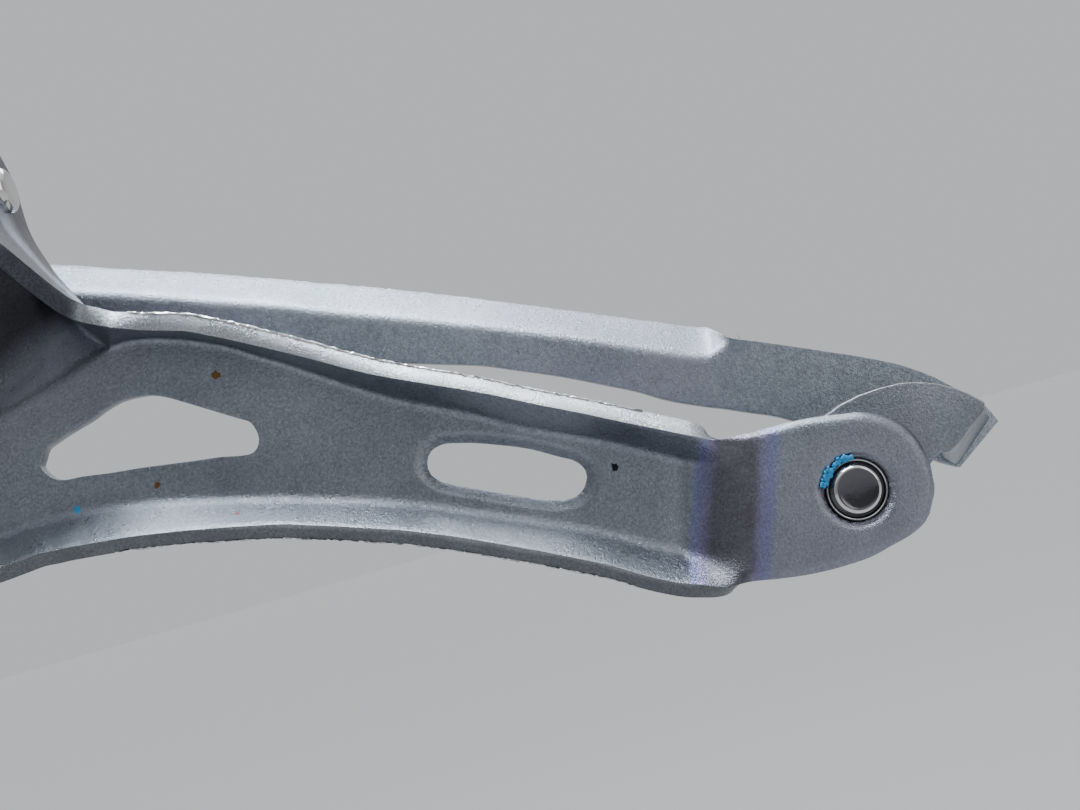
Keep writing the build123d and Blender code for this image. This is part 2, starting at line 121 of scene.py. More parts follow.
def math_node(nt, op, a, b):
    n = nt.nodes.new("ShaderNodeMath")
    n.operation = op
    for i, v in enumerate((a, b)):
        if isinstance(v, (int, float)):
            n.inputs[i].default_value = v
        else:
            nt.links.new(v, n.inputs[i])
    return n.outputs[0]


def bump(nt, bsdf, height, strength, distance):
    b = nt.nodes.new("ShaderNodeBump")
    b.inputs["Strength"].default_value = strength
    b.inputs["Distance"].default_value = distance
    nt.links.new(height, b.inputs["Height"])
    nt.links.new(b.outputs["Normal"], bsdf.inputs["Normal"])


def satin(name, dark, light, rough=(0.34, 0.5), grain=5200, specks=0.0, tint=None, grain_d=0.00003):
    """Bead-blasted metal: fine grain, cloudy tone and a few dark specks."""
    m, nt, bsdf = new_mat(name)
    v = coords(nt)
    cloud = noise(nt, v, 90, 5, 0.6)
    fine = noise(nt, v, grain, 3, 0.7)
    col = ramp(nt, cloud, [(0.3, dark), (0.7, light)])
    grit = ramp(nt, fine, [(0.3, (0.80, 0.80, 0.80)), (0.7, (1.0, 1.0, 1.0))])
    col = mix(nt, 0.6, col, grit, "MULTIPLY")
    if tint:
        wide = noise(nt, v, 38, 2, 0.5)
        col = mix(nt, remap(nt, wide, 0.45, 0.68, 0.0, 0.55), col, tint)
    if specks:
        vor = nt.nodes.new("ShaderNodeTexVoronoi")
        vor.inputs["Scale"].default_value = 420
        nt.links.new(v, vor.inputs["Vector"])
        spot = math_node(nt, "LESS_THAN", vor.outputs["Distance"], specks)
        pick = math_node(nt, "GREATER_THAN", noise(nt, v, 260, 1, 0.5), 0.60)
        col = mix(nt, math_node(nt, "MULTIPLY", spot, pick), col, (0.03, 0.025, 0.02))
    nt.links.new(col, bsdf.inputs["Base Color"])
    nt.links.new(remap(nt, noise(nt, v, 700, 4, 0.6), 0.3, 0.7, *rough), bsdf.inputs["Roughness"])
    bsdf.inputs["Metallic"].default_value = 1.0
    bump(nt, bsdf, fine, 0.45, grain_d)
    return m


def sheared(name):
    """The cut edge of pressed sheet: a burnished band and a torn one, with painted shade where it faces down and darker
    up on the ear.
    """
    m, nt, bsdf = new_mat(name)
    v = coords(nt, (1, 0.5, 1))
    tear = noise(nt, v, 6500, 5, 0.7)
    band = noise(nt, coords(nt), 420, 4, 0.6)
    col = ramp(nt, tear, [(0.30, (0.26, 0.27, 0.29)), (0.5, (0.54, 0.57, 0.61)), (0.72, (0.86, 0.90, 0.96))])
    col = mix(nt, remap(nt, band, 0.35, 0.7, 0.0, 0.5), col, (0.40, 0.43, 0.48))
    geo = nt.nodes.new("ShaderNodeNewGeometry")
    sep = nt.nodes.new("ShaderNodeSeparateXYZ")
    nt.links.new(geo.outputs["Normal"], sep.inputs["Vector"])
    # painted shade: cut edges that face down are darkened
    low = remap(nt, sep.outputs["Z"], -0.15, -0.5, 0.0, 1.0)
    pos = nt.nodes.new("ShaderNodeSeparateXYZ")
    tc = nt.nodes.new("ShaderNodeTexCoord")
    nt.links.new(tc.outputs["Object"], pos.inputs["Vector"])
    ear = remap(nt, pos.outputs["Z"], -0.0375, -0.0335, 0.0, 0.75)
    col = mix(nt, low, col, mix(nt, 1.0, col, (0.26, 0.26, 0.27), "MULTIPLY"))
    col = mix(nt, ear, col, mix(nt, 1.0, col, (0.34, 0.34, 0.36), "MULTIPLY"))
    nt.links.new(col, bsdf.inputs["Base Color"])
    nt.links.new(remap(nt, band, 0.3, 0.7, 0.20, 0.38), bsdf.inputs["Roughness"])
    bsdf.inputs["Metallic"].default_value = 1.0
    bump(nt, bsdf, tear, 0.7, 0.00006)
    return m


def plain_metal(name, color, rough, grain=2400, strength=0.25, streak=(1, 1, 1)):
    m, nt, bsdf = new_mat(name)
    v = coords(nt, streak)
    n1 = noise(nt, v, grain, 4, 0.6)
    n2 = noise(nt, coords(nt), 160, 4, 0.6)
    dark = tuple(c * 0.72 for c in color)
    nt.links.new(ramp(nt, n2, [(0.32, dark), (0.68, color)]), bsdf.inputs["Base Color"])
    nt.links.new(remap(nt, n1, 0.3, 0.7, rough[0], rough[1]), bsdf.inputs["Roughness"])
    bsdf.inputs["Metallic"].default_value = 1.0
    bump(nt, bsdf, n1, strength, 0.00003)
    return m


def plastic(name, color):
    m, nt, bsdf = new_mat(name)
    v = coords(nt)
    n1 = noise(nt, v, 1800, 3, 0.6)
    nt.links.new(ramp(nt, noise(nt, v, 140, 3, 0.5), [(0.3, tuple(c * 0.7 for c in color)), (0.7, color)]), bsdf.inputs["Base Color"])
    nt.links.new(remap(nt, n1, 0.3, 0.7, 0.42, 0.6), bsdf.inputs["Roughness"])
    bump(nt, bsdf, n1, 0.3, 0.00002)
    return m


def plate_finish(name, dark, light, flecks_and_painted_light=True):
    """Bead-blasted pressed steel: sparkling grain, darker on the ear, painted shade in the link well, painted light on
    the shoulder, painted reflections and shade on the joggle and a few flecks of dirt.
    """
    m, nt, bsdf = new_mat(name)
    v = coords(nt)
    cloud = noise(nt, v, 110, 5, 0.6)
    grain = noise(nt, v, 4300, 3, 0.75)
    fine = noise(nt, v, 9500, 2, 0.7)
    col = ramp(nt, cloud, [(0.3, dark), (0.7, light)])
    col = mix(nt, 0.85, col, ramp(nt, grain, [(0.30, (0.60, 0.60, 0.60)), (0.52, (0.95, 0.95, 0.95)), (0.70, (1.3, 1.3, 1.3))]), "MULTIPLY")
    wide = noise(nt, v, 42, 2, 0.5)
    col = mix(nt, remap(nt, wide, 0.45, 0.68, 0.0, 0.45), col, (0.26, 0.24, 0.32), "MIX")
    sep = nt.nodes.new("ShaderNodeSeparateXYZ")
    tc = nt.nodes.new("ShaderNodeTexCoord")
    nt.links.new(tc.outputs["Object"], sep.inputs["Vector"])
    X, Y, Z = sep.outputs
    # darker on the ear, and painted shade in the link well
    high = math_node(nt, "MULTIPLY", remap(nt, Z, -0.0355, -0.0325, 0.0, 0.85), remap(nt, Y, -0.0175, -0.0150, 0.0, 1.0))
    # painted shade: the link well behind Y -19 mm is darkened
    well_shade = remap(nt, Y, -0.0190, -0.0212, 0.0, 1.0)
    ear_dark_well_shade = math_node(nt, "MULTIPLY", math_node(nt, "MAXIMUM", high, well_shade if flecks_and_painted_light else 0.0), remap(nt, cloud, 0.25, 0.6, 0.75, 1.0))
    col = mix(nt, ear_dark_well_shade, col, mix(nt, 1.0, col, (0.42, 0.385, 0.36), "MULTIPLY"))
    if flecks_and_painted_light:
        # painted light: the shoulder just above the web's top bend is lightened
        shoulder = math_node(nt, "MULTIPLY", remap(nt, Y, -0.0162, -0.0168, 0.0, 1.0), math_node(nt, "SUBTRACT", 1.0, well_shade))
        shoulder = math_node(nt, "MULTIPLY", shoulder, remap(nt, Z, -0.0405, -0.0385, 0.0, 1.0))
        col = mix(nt, shoulder, col, mix(nt, 1.0, col, (1.9, 1.9, 1.9), "MULTIPLY"))
    # painted purple-blue reflections along both bends of the joggle, with painted shade on the slope between
    along = math_node(nt, "ADD", math_node(nt, "MULTIPLY", X, 0.938), math_node(nt, "MULTIPLY", Z, 0.348))
    wob = math_node(nt, "ADD", along, remap(nt, noise(nt, v, 300, 2, 0.5), 0.0, 1.0, -0.0004, 0.0004))
    s01 = remap(nt, wob, -0.0860, -0.0775, 0.0, 1.0)
    joggle_light_shade = ramp(nt, s01, [(0.0, (0.5, 0.5, 0.5)), (0.16, (0.5, 0.5, 0.5)), (0.25, (0.40, 0.40, 0.58)), (0.33, (0.43, 0.37, 0.50)), (0.40, (0.30, 0.275, 0.275)), (0.72, (0.28, 0.255, 0.26)), (0.80, (0.42, 0.35, 0.50)), (0.88, (0.42, 0.43, 0.62)), (0.93, (0.5, 0.5, 0.5)), (1.0, (0.5, 0.5, 0.5))])
    if flecks_and_painted_light:
        col = mix(nt, 1.0, col, mix(nt, 1.0, joggle_light_shade, (2.0, 2.0, 2.0), "MULTIPLY"), "MULTIPLY")
    for p, r, c in FLECKS if flecks_and_painted_light else []:
        d = nt.nodes.new("ShaderNodeVectorMath")
        d.operation = "DISTANCE"
        nt.links.new(tc.outputs["Object"], d.inputs[0])
        d.inputs[1].default_value = tuple(k * MM for k in p)
        rag = math_node(nt, "ADD", d.outputs["Value"], remap(nt, noise(nt, v, 2600, 3, 0.6), 0.2, 0.8, -0.00028, 0.00028))
        col = mix(nt, math_node(nt, "LESS_THAN", rag, r * MM), col, c)
    nt.links.new(col, bsdf.inputs["Base Color"])
    nt.links.new(remap(nt, noise(nt, v, 700, 4, 0.6), 0.3, 0.7, 0.24, 0.38), bsdf.inputs["Roughness"])
    bsdf.inputs["Metallic"].default_value = 1.0
    h = math_node(nt, "ADD", grain, math_node(nt, "MULTIPLY", fine, 0.5))
    bump(nt, bsdf, h, 0.8, 0.00007)
    return m


FLECKS = [((-13.88, -16, -48.34), 0.26, (0.05, 0.30, 0.60)), ((-27.13, -16, -41.01), 0.34, (0.16, 0.10, 0.04)), ((-20.41, -16, -48.16), 0.20, (0.18, 0.09, 0.04)), ((-55.6, -16, -56.8), 0.28, (0.02, 0.02, 0.025)), ((-26.22, -14.6, -52.26), 0.2, (0.35, 0.05, 0.05))]
M_PLATE = plate_finish("blasted_steel", (0.20, 0.222, 0.262), (0.29, 0.318, 0.363))
M_OUTER = plate_finish("blasted_steel_outer", (0.27, 0.305, 0.355), (0.37, 0.41, 0.465), False)
# painted shade: the hook tab and wall share the outer plate's pressing but get a darker copy of its finish
M_HOOK_SHADE = plate_finish("blasted_steel_hook_shade", (0.165, 0.185, 0.215), (0.245, 0.27, 0.31), False)
M_EDGE = sheared("sheared_edge")
M_BURR = plain_metal("burr_bright", (0.92, 0.93, 0.95), (0.12, 0.25), 3000, 0.5)
M_ALLOY = satin("forged_alloy_satin", (0.55, 0.56, 0.58), (0.68, 0.69, 0.71), (0.30, 0.44), 3600)
M_PIN = plain_metal("polished_pin", (0.78, 0.77, 0.76), (0.06, 0.14), 900, 0.08)
M_SCREW = plain_metal("dark_plated_screw", (0.13, 0.13, 0.145), (0.10, 0.24), 2600, 0.3)
M_SPRING = plain_metal("oiled_spring_wire", (0.42, 0.42, 0.44), (0.2, 0.32), 2200, 0.2, (1, 6, 6))
M_NYLON = plastic("black_nylon", (0.035, 0.035, 0.038))
M_LOCK = plastic("thread_lock_blue", (0.02, 0.30, 0.62))
M_LOCK.node_tree.nodes["Principled BSDF"].inputs["Roughness"].default_value = 0.3


# ------------------------------------------------------------------ mesh tools
def resample(pts, n):
    """n points on a smooth curve through pts, evenly spaced by chord."""
    p = np.array(pts, float)
    d = np.r_[0, np.cumsum(np.linalg.norm(np.diff(p, axis=0), axis=1))]
    return hermite(d, p, np.linspace(0, d[-1], n))


def hermite(t, p, x):
    p = np.array(p, float)
    m = np.zeros_like(p)
    dt = np.diff(t)[:, None]
    sl = np.diff(p, axis=0) / dt
    m[1:-1] = (sl[:-1] * dt[1:] + sl[1:] * dt[:-1]) / (dt[1:] + dt[:-1])
    m[0], m[-1] = sl[0], sl[-1]
    i = np.clip(np.searchsorted(t, x, side="right") - 1, 0, len(t) - 2)
    h = (t[i + 1] - t[i])[:, None]
    s = ((x - t[i]) / h[:, 0])[:, None]
    return (2 * s**3 - 3 * s**2 + 1) * p[i] + (s**3 - 2 * s**2 + s) * h * m[i] + (-2 * s**3 + 3 * s**2) * p[i + 1] + (s**3 - s**2) * h * m[i + 1]


def columns(cols, step):
    """cols: list of columns, each a list of (x, y, z). Returns dense columns, array [n, rows, 3]."""
    c = np.array(cols, float)
    mid = c.mean(axis=1)
    d = np.r_[0, np.cumsum(np.maximum(np.linalg.norm(np.diff(mid, axis=0), axis=1), 0.05))]
    n = max(3, int(d[-1] / step))
    flat = hermite(d, c.reshape(len(c), -1), np.linspace(0, d[-1], n))
    return flat.reshape(n, c.shape[1], 3)


def profile(col, counts, radii):
    """One dense column: straight runs between key points, with rounded bends of the given radii."""
    out = []
    k = len(col)
    for i in range(k - 1):
        a, b = col[i], col[i + 1]
        L = np.linalg.norm(b - a)
        ra = min(radii[i], 0.45 * L) if i > 0 else 0.0
        rb = min(radii[i + 1], 0.45 * L) if i < k - 2 else 0.0
        u = (b - a) / max(L, 1e-9)
        s, e = a + u * ra, b - u * rb
        for j in range(counts[i] + 1):
            out.append(s + (e - s) * j / counts[i])
        if i < k - 2:
            c = col[i + 2]
            L2 = np.linalg.norm(c - b)
            rn = min(radii[i + 1], 0.45 * L2)
            e2 = b + (c - b) / max(L2, 1e-9) * rn
            for t in (0.2, 0.4, 0.6, 0.8):
                out.append((1 - t) ** 2 * e + 2 * t * (1 - t) * b + t**2 * e2)
    return out


class Sheet:
    def __init__(self):
        self.v, self.f = [], []

    def grid(self, g, flip=False):
        n, m = len(g), len(g[0])
        base = len(self.v)
        for col in g:
            self.v.extend([tuple(p) for p in col])
        for i in range(n - 1):
            for j in range(m - 1):
                a = base + i * m + j
                q = (a, a + 1, a + m + 1, a + m)
                self.f.append(tuple(reversed(q)) if flip else q)

    def mesh(self, name, weld=0.012):
        me = bpy.data.meshes.new(name)
        me.from_pydata([tuple(c * MM for c in p) for p in self.v], [], self.f)
        bm = bmesh.new()
        bm.from_mesh(me)
        bmesh.ops.remove_doubles(bm, verts=bm.verts, dist=weld * MM)
        bmesh.ops.dissolve_degenerate(bm, edges=bm.edges, dist=0.002 * MM)
        bm.to_mesh(me)
        bm.free()
        return me


def obj(name, me, *mats):
    o = bpy.data.objects.new(name, me)
    bpy.context.scene.collection.objects.link(o)
    for m in mats:
        me.materials.append(m)
    return o


def apply(o):
    """Bakes the modifiers into the mesh."""
    dg = bpy.context.evaluated_depsgraph_get()
    dg.update()
    me = bpy.data.meshes.new_from_object(o.evaluated_get(dg), preserve_all_data_layers=True, depsgraph=dg)
    old = o.data
    o.modifiers.clear()
    o.data = me
    bpy.data.meshes.remove(old)


def thicken(o, t=1.4):
    s = o.modifiers.new("sheet", "SOLIDIFY")
    s.thickness = t * MM
    s.offset = -1.0
    s.use_even_offset = False
    s.use_quality_normals = True
    s.thickness_clamp = 0.0
    s.material_offset_rim = 1
    apply(o)


def cut(o, points, y0, y1, mat, name):
    """Cuts a hole with the outline points (x, z) through the sheet along Y."""
    me = bpy.data.meshes.new(name)
    n = len(points)
    vs = [(x * MM, y0 * MM, z * MM) for x, z in points] + [(x * MM, y1 * MM, z * MM) for x, z in points]
    fs = [tuple(range(n)), tuple(reversed(range(n, 2 * n)))] + [(i, n + i, n + (i + 1) % n, (i + 1) % n) for i in range(n)]
    me.from_pydata(vs, [], fs)
    bm = bmesh.new()
    bm.from_mesh(me)
    bmesh.ops.recalc_face_normals(bm, faces=bm.faces)
    bm.to_mesh(me)
    bm.free()
    c = obj(name, me, mat)
    b = o.modifiers.new("cut", "BOOLEAN")
    b.operation, b.solver, b.object = "DIFFERENCE", "EXACT", c
    b.material_mode = "TRANSFER"
    apply(o)
    bpy.data.objects.remove(c)


def open_hole(o, curve, y0, y1):
    """Opens a hole in a dense sheet along the outline curve (x, z), with the sheet's vertices drawn on to it."""
    bm = bmesh.new()
    bm.from_mesh(o.data)
    bm.verts.ensure_lookup_table()
    c = np.array(curve) * MM
    fine = np.vstack([c + (np.roll(c, -1, axis=0) - c) * t for t in (0.0, 0.25, 0.5, 0.75)])
    lo, hi = c.min(axis=0) - 0.001, c.max(axis=0) + 0.001
    cand = [f for f in bm.faces if y0 * MM < f.calc_center_median().y < y1 * MM and lo[0] < f.calc_center_median().x < hi[0] and lo[1] < f.calc_center_median().z < hi[1]]
    mids = np.array([(f.calc_center_median().x, f.calc_center_median().z) for f in cand])
    d = poly_distance(mids, c)
    gone = [f for f, k in zip(cand, d) if k < 0]
    ring = set(v for f in gone for v in f.verts)
    bmesh.ops.delete(bm, geom=gone, context="FACES")
    moved = [v for v in ring if v.is_valid and v.is_boundary]
    for v in moved:
        p = np.array((v.co.x, v.co.z))
        q = fine[np.argmin(((fine - p) ** 2).sum(axis=1))]
        v.co.x, v.co.z = q
    bmesh.ops.remove_doubles(bm, verts=moved, dist=0.03 * MM)
    moved = [v for v in moved if v.is_valid]
    near = set(w for v in moved for e in v.link_edges for w in e.verts) - set(moved)
    for _ in range(4):
        for v in near:
            if v.is_boundary:
                continue
            n = [e.other_vert(v).co for e in v.link_edges]
            m = sum(n, Vector()) / len(n)
            v.co = v.co.lerp(Vector((m.x, v.co.y, m.z)), 0.5)
    bm.to_mesh(o.data)
    bm.free()


def soften(o, width=0.12, segments=2, angle=38):
    b = o.modifiers.new("edge", "BEVEL")
    b.width = width * MM
    b.segments = segments
    b.limit_method = "ANGLE"
    b.angle_limit = math.radians(angle)
    b.harden_normals = False
    b.miter_outer = "MITER_ARC"
    shade(o)


def shade(o):
    for p in o.data.polygons:
        p.use_smooth = True
    bm = bmesh.new()
    bm.from_mesh(o.data)
    for e in bm.edges:
        e.smooth = not (len(e.link_faces) == 2 and e.calc_face_angle(0) > math.radians(38))
    bm.to_mesh(o.data)
    bm.free()


def closed_curve(pts, n=96):
    p = np.array(list(pts) + [pts[0]], float)
    d = np.r_[0, np.cumsum(np.linalg.norm(np.diff(p, axis=0), axis=1))]
    ext = np.vstack([p[-3:-1], p, p[1:3]])
    de = np.r_[d[-3] - d[-1], d[-2] - d[-1], d, d[-1] + d[1], d[-1] + d[2]]
    return hermite(de, ext, np.linspace(0, d[-1], n, endpoint=False))


def poly_distance(p, poly):
    """Distance from points p [n, 2] to a closed polygon, negative inside."""
    a = poly
    b = np.roll(poly, -1, axis=0)
    ab = b - a
    ap = p[:, None, :] - a[None]
    t = np.clip((ap * ab[None]).sum(-1) / (ab * ab).sum(-1)[None], 0, 1)
    d = np.linalg.norm(ap - t[..., None] * ab[None], axis=-1).min(axis=1)
    cond = (a[None, :, 1] > p[:, None, 1]) != (b[None, :, 1] > p[:, None, 1])
    with np.errstate(divide="ignore", invalid="ignore"):
        xi = a[None, :, 0] + (p[:, None, 1] - a[None, :, 1]) * ab[None, :, 0] / np.where(ab[None, :, 1] == 0, 1e-12, ab[None, :, 1])
    inside = (cond & (p[:, None, 0] < xi)).sum(axis=1) % 2 == 1
    return np.where(inside, -d, d)


def smoothstep(x):
    x = np.clip(x, 0, 1)
    return x * x * (3 - 2 * x)


def tube(path, radius, sides, name):
    p = np.array(path, float)
    vs, fs = [], []
    t = np.gradient(p, axis=0)
    t /= np.linalg.norm(t, axis=1)[:, None]
    ref = np.array([1.0, 0.0, 0.0])
    n0 = np.cross(t[0], ref)
    n0 /= np.linalg.norm(n0)
    for i in range(len(p)):
        n0 = n0 - t[i] * np.dot(n0, t[i])
        n0 /= np.linalg.norm(n0)
        b = np.cross(t[i], n0)
        for k in range(sides):
            a = 2 * math.pi * k / sides
            vs.append(tuple((p[i] + radius * (math.cos(a) * n0 + math.sin(a) * b)) * MM))
    for i in range(len(p) - 1):
        for k in range(sides):
            l = (k + 1) % sides
            fs.append((i * sides + k, (i + 1) * sides + k, (i + 1) * sides + l, i * sides + l))
    fs.append(tuple(range(sides)))
    fs.append(tuple(reversed(range((len(p) - 1) * sides, len(p) * sides))))
    me = bpy.data.meshes.new(name)
    me.from_pydata(vs, [], fs)
    bm = bmesh.new()
    bm.from_mesh(me)
    bmesh.ops.recalc_face_normals(bm, faces=bm.faces)
    bm.to_mesh(me)
    bm.free()
    return me


def join(name, objs):
    bpy.ops.object.select_all(action="DESELECT")
    for o in objs:
        o.select_set(True)
    bpy.context.view_layer.objects.active = objs[0]
    bpy.ops.object.join()
    objs[0].name = name
    return objs[0]


# ------------------------------------------------------------------ inner cage plate
WEB, CREST, LOBE, T = -16.0, -13.2, -13.0, 1.4
# flange edge, top bend, bottom bend, bottom edge (X, Z), from the seam with the ear to the tail
COLS = [
    ((-20.8, -35.52), (-19.68, -36.63), (-16.36, -48.87), (-16.49, -51.45)),
    ((-21.89, -35.96), (-20.95, -36.48), (-17.55, -49.02), (-17.65, -51.58)),
    ((-22.98, -36.38), (-22.16, -36.59), (-18.72, -49.24), (-18.8, -51.75)),
    ((-24.84, -36.96), (-24.09, -37.07), (-20.66, -49.64), (-20.72, -52.07)),
    ((-26.25, -37.4), (-25.51, -37.59), (-22.13, -49.96), (-22.17, -52.32)),
    ((-27.88, -38.2), (-27.21, -38.31), (-23.89, -50.43), (-23.91, -52.67)),
    ((-29.5, -39.04), (-28.88, -39.15), (-25.65, -50.89), (-25.66, -53.03)),
    ((-31.11, -39.93), (-30.48, -40.23), (-27.41, -51.36), (-27.39, -53.42)),
    ((-33.28, -41.14), (-32.65, -41.61), (-29.77, -52.0), (-29.72, -53.96)),
    ((-35.08, -42.18), (-34.45, -42.87), (-31.74, -52.6), (-31.63, -54.59)),
    ((-37.15, -43.42), (-36.52, -44.31), (-34.01, -53.32), (-33.83, -55.33)),
    ((-39.24, -44.6), (-38.6, -45.7), (-36.26, -54.07), (-36.02, -56.1)),
    ((-41.36, -45.65), (-40.7, -47.05), (-38.51, -54.83), (-38.21, -56.87)),
    ((-43.5, -46.66), (-42.87, -48.14), (-40.72, -55.72), (-40.36, -57.76)),
    ((-45.63, -47.66), (-45.03, -49.23), (-42.91, -56.69), (-42.51, -58.68)),
    ((-47.76, -48.7), (-47.17, -50.41), (-45.1, -57.68), (-44.62, -59.69)),
    ((-49.85, -49.82), (-49.28, -51.7), (-47.28, -58.69), (-46.74, -60.7)),
    ((-51.96, -50.92), (-51.46, -52.71), (-49.46, -59.67), (-48.85, -61.75)),
    ((-54.07, -52.0), (-53.63, -53.77), (-51.65, -60.64), (-50.94, -62.83)),
    ((-56.16, -53.12), (-55.8, -54.84), (-53.78, -61.82), (-53.03, -63.93)),
    ((-58.26, -54.23), (-57.93, -56.04), (-55.9, -63.02), (-55.07, -65.22)),
    ((-60.02, -55.13), (-59.69, -57.08), (-57.65, -64.06), (-56.79, -66.2)),
    ((-61.4, -55.85), (-61.1, -57.9), (-59.1, -64.9), (-58.3, -66.9)),
]
LOBE_TOP = [(-62.4, -56.35), (-63.36, -56.86), (-65.4, -57.04), (-67.39, -57.13), (-69.47, -57.16), (-71.44, -57.33), (-73.44, -57.66), (-75.12, -57.98), (-76.67, -58.74), (-77.9, -59.74), (-78.68, -61.17), (-79.0, -62.55), (-79.09, -64.1), (-78.85, -65.31)]
LOBE_BOT = [(-59.4, -67.3), (-61.0, -67.95), (-63.09, -68.15), (-65.52, -68.6), (-68.0, -68.92), (-70.54, -69.01), (-72.66, -68.9), (-74.55, -68.48), (-76.2, -68.08), (-77.43, -67.47), (-78.31, -66.44), (-78.85, -65.31)]
TRI = [(-11.88, -44.23), (-12.17, -43.74), (-12.61, -43.04), (-13.53, -42.65), (-14.88, -42.21), (-16.65, -41.73), (-18.03, -41.21), (-19.34, -40.92), (-20.56, -40.95), (-21.75, -41.12), (-22.85, -41.6), (-23.91, -42.24), (-25.31, -43.13), (-26.71, -44.03), (-28.11, -44.93), (-28.81, -45.38), (-29.1, -46.12), (-29.12, -46.95), (-28.91, -47.39), (-28.39, -47.81), (-27.73, -47.79), (-25.79, -47.4), (-24.2, -47.19), (-21.84, -46.84), (-19.47, -46.49), (-17.08, -46.22), (-14.72, -45.87), (-13.51, -45.77), (-12.98, -45.62), (-12.43, -45.21), (-12.13, -44.8)]
SLOT = [(-41.42, -52.37), (-41.89, -51.6), (-42.8, -51.29), (-44.37, -51.57), (-47.37, -52.6), (-49.57, -53.56), (-51.68, -54.82), (-52.74, -55.45), (-53.27, -56.18), (-53.34, -56.78), (-53.09, -57.37), (-52.71, -57.83), (-52.12, -58.16), (-51.52, -58.23), (-49.24, -57.58), (-47.79, -56.91), (-46.33, -56.25), (-44.9, -55.51), (-43.44, -54.84), (-42.72, -54.47), (-42.03, -54.03), (-41.58, -53.57), (-41.35, -52.93)]
SCREW = (-73.04, -63.61)


def p3(p, y):
    return (p[0], y, p[1])


cols = [[p3(a, CREST), p3(b, WEB), p3(c, WEB), p3(d, CREST)] for a, b, c, d in COLS]
# step up to the lobe, then the lobe closing to its round end
step_y = [-15.85, -15.1, -13.9, -13.15]
tops = resample([COLS[-1][0]] + LOBE_TOP, 60)
bots = resample([COLS[-1][3]] + LOBE_BOT, 60)
frac = np.linspace(0, 1, 60)
for k in range(1, 60):
    t, b = tops[k], bots[k]
    f = frac[k]
    s_mid = 0.938 * (t[0] + b[0]) / 2 + 0.348 * (t[1] + b[1]) / 2
    rise = (-77.6 - s_mid) / 5.2
    wy = WEB + (LOBE - WEB) * float(0.55 * np.clip(rise, 0, 1) + 0.45 * smoothstep(rise))
    cy = CREST + (LOBE - CREST) * smoothstep(f / 0.15)
    inset = 0.10 + 0.0 * f
    span = b - t
    L = np.linalg.norm(span)
    q = min(0.2, 2.0 / max(L, 1e-6))
    cols.append([p3(t, cy), p3(t + span * q, wy), p3(b - span * q, wy), p3(b, cy)])
n_main = len(COLS)
dense = columns(cols[:-1], 0.34)
counts, radii = [5, 38, 5], [0, 0.55, 0.75, 0]
sheet = Sheet()
main = [profile(c, counts, radii) for c in dense]
sheet.grid(main)

# web and lower flange ahead of the seam, with the shoulder, the valley and the floor of the link well
FRONT = [
    # back wall, two points of the floor, valley (x, y, z), then web top bend, bottom bend, bottom edge (x, z)
    ((-19.68, -16.2, -36.5), (-19.68, -16.2, -36.5), (-19.68, -16.2, -36.5), (-19.68, -16.2, -36.5), (-19.68, -36.63), (-16.36, -48.87), (-16.49, -51.45)),
    ((-18.5, -17.4, -35.4), (-18.6, -17.2, -35.6), (-18.8, -17.0, -35.8), (-18.9, -16.9, -36.0), (-18.9, -36.8), (-15.7, -48.8), (-15.85, -51.38)),
    ((-17.4, -18.7, -34.1), (-17.6, -18.3, -34.6), (-17.9, -17.8, -35.2), (-18.1, -17.4, -35.6), (-18.1, -37.1), (-15.0, -48.7), (-15.15, -51.31)),
    ((-16.3, -20.3, -32.5), (-16.6, -19.5, -33.4), (-16.9, -18.6, -34.4), (-17.1, -18.0, -35.0), (-17.0, -37.5), (-14.0, -48.6), (-14.16, -51.21)),
    ((-14.9, -22.2, -30.2), (-15.3, -20.9, -31.8), (-15.7, -19.5, -33.4), (-15.9, -18.5, -34.7), (-15.8, -37.9), (-12.95, -48.5), (-13.1, -51.1)),
    ((-13.4, -23.8, -27.4), (-13.9, -22.1, -30.5), (-14.3, -20.2, -33.0), (-14.6, -18.8, -34.8), (-14.6, -38.3), (-11.9, -48.45), (-12.1, -51.05)),
    ((-12.3, -24.0, -22.5), (-12.7, -22.7, -29.2), (-13.0, -20.7, -32.8), (-13.2, -19.1, -35.4), (-13.2, -38.6), (-10.6, -48.4), (-10.85, -50.95)),
    ((-11.3, -24.0, -20.0), (-11.3, -23.0, -29.2), (-11.3, -20.9, -33.0), (-11.3, -19.3, -36.3), (-11.62, -39.04), (-9.09, -48.53), (-9.41, -51.06)),
    ((-9.3, -24.0, -20.0), (-9.3, -23.2, -29.2), (-9.3, -21.2, -33.2), (-9.3, -19.5, -37.0), (-9.85, -39.53), (-7.41, -48.7), (-7.78, -51.18)),
    ((2.0, -24.0, -20.0), (2.0, -23.3, -29.2), (2.0, -21.4, -33.4), (2.0, -19.6, -37.3), (2.0, -40.2), (2.5, -48.9), (2.4, -51.3)),
    ((11.6, -24.0, -20.0), (11.6, -23.3, -29.2), (11.5, -21.4, -33.4), (11.5, -19.3, -36.6), (11.5, -39.7), (11.6, -49.6), (11.5, -52.05)),
    ((12.6, -24.0, -20.0), (12.6, -23.3, -29.2), (12.6, -21.2, -33.4), (12.6, -19.2, -36.7), (12.6, -39.6), (12.6, -49.75), (12.5, -52.15)),
    ((13.1, -16.9, -37.9), (13.1, -16.8, -38.1), (13.1, -16.7, -38.4), (13.1, -16.5, -38.7), (13.1, -39.55), (13.1, -49.8), (13.0, -52.2)),
    ((20.0, -16.4, -41.1), (20.0, -16.35, -41.2), (20.0, -16.3, -41.3), (20.0, -16.2, -41.5), (20.0, -41.9), (20.0, -51.0), (19.8, -53.3)),
    ((25.3, -16.2, -46.0), (25.3, -16.2, -46.1), (25.3, -16.15, -46.2), (25.3, -16.1, -46.3), (25.3, -46.6), (25.4, -52.6), (25.3, -54.5)),
]
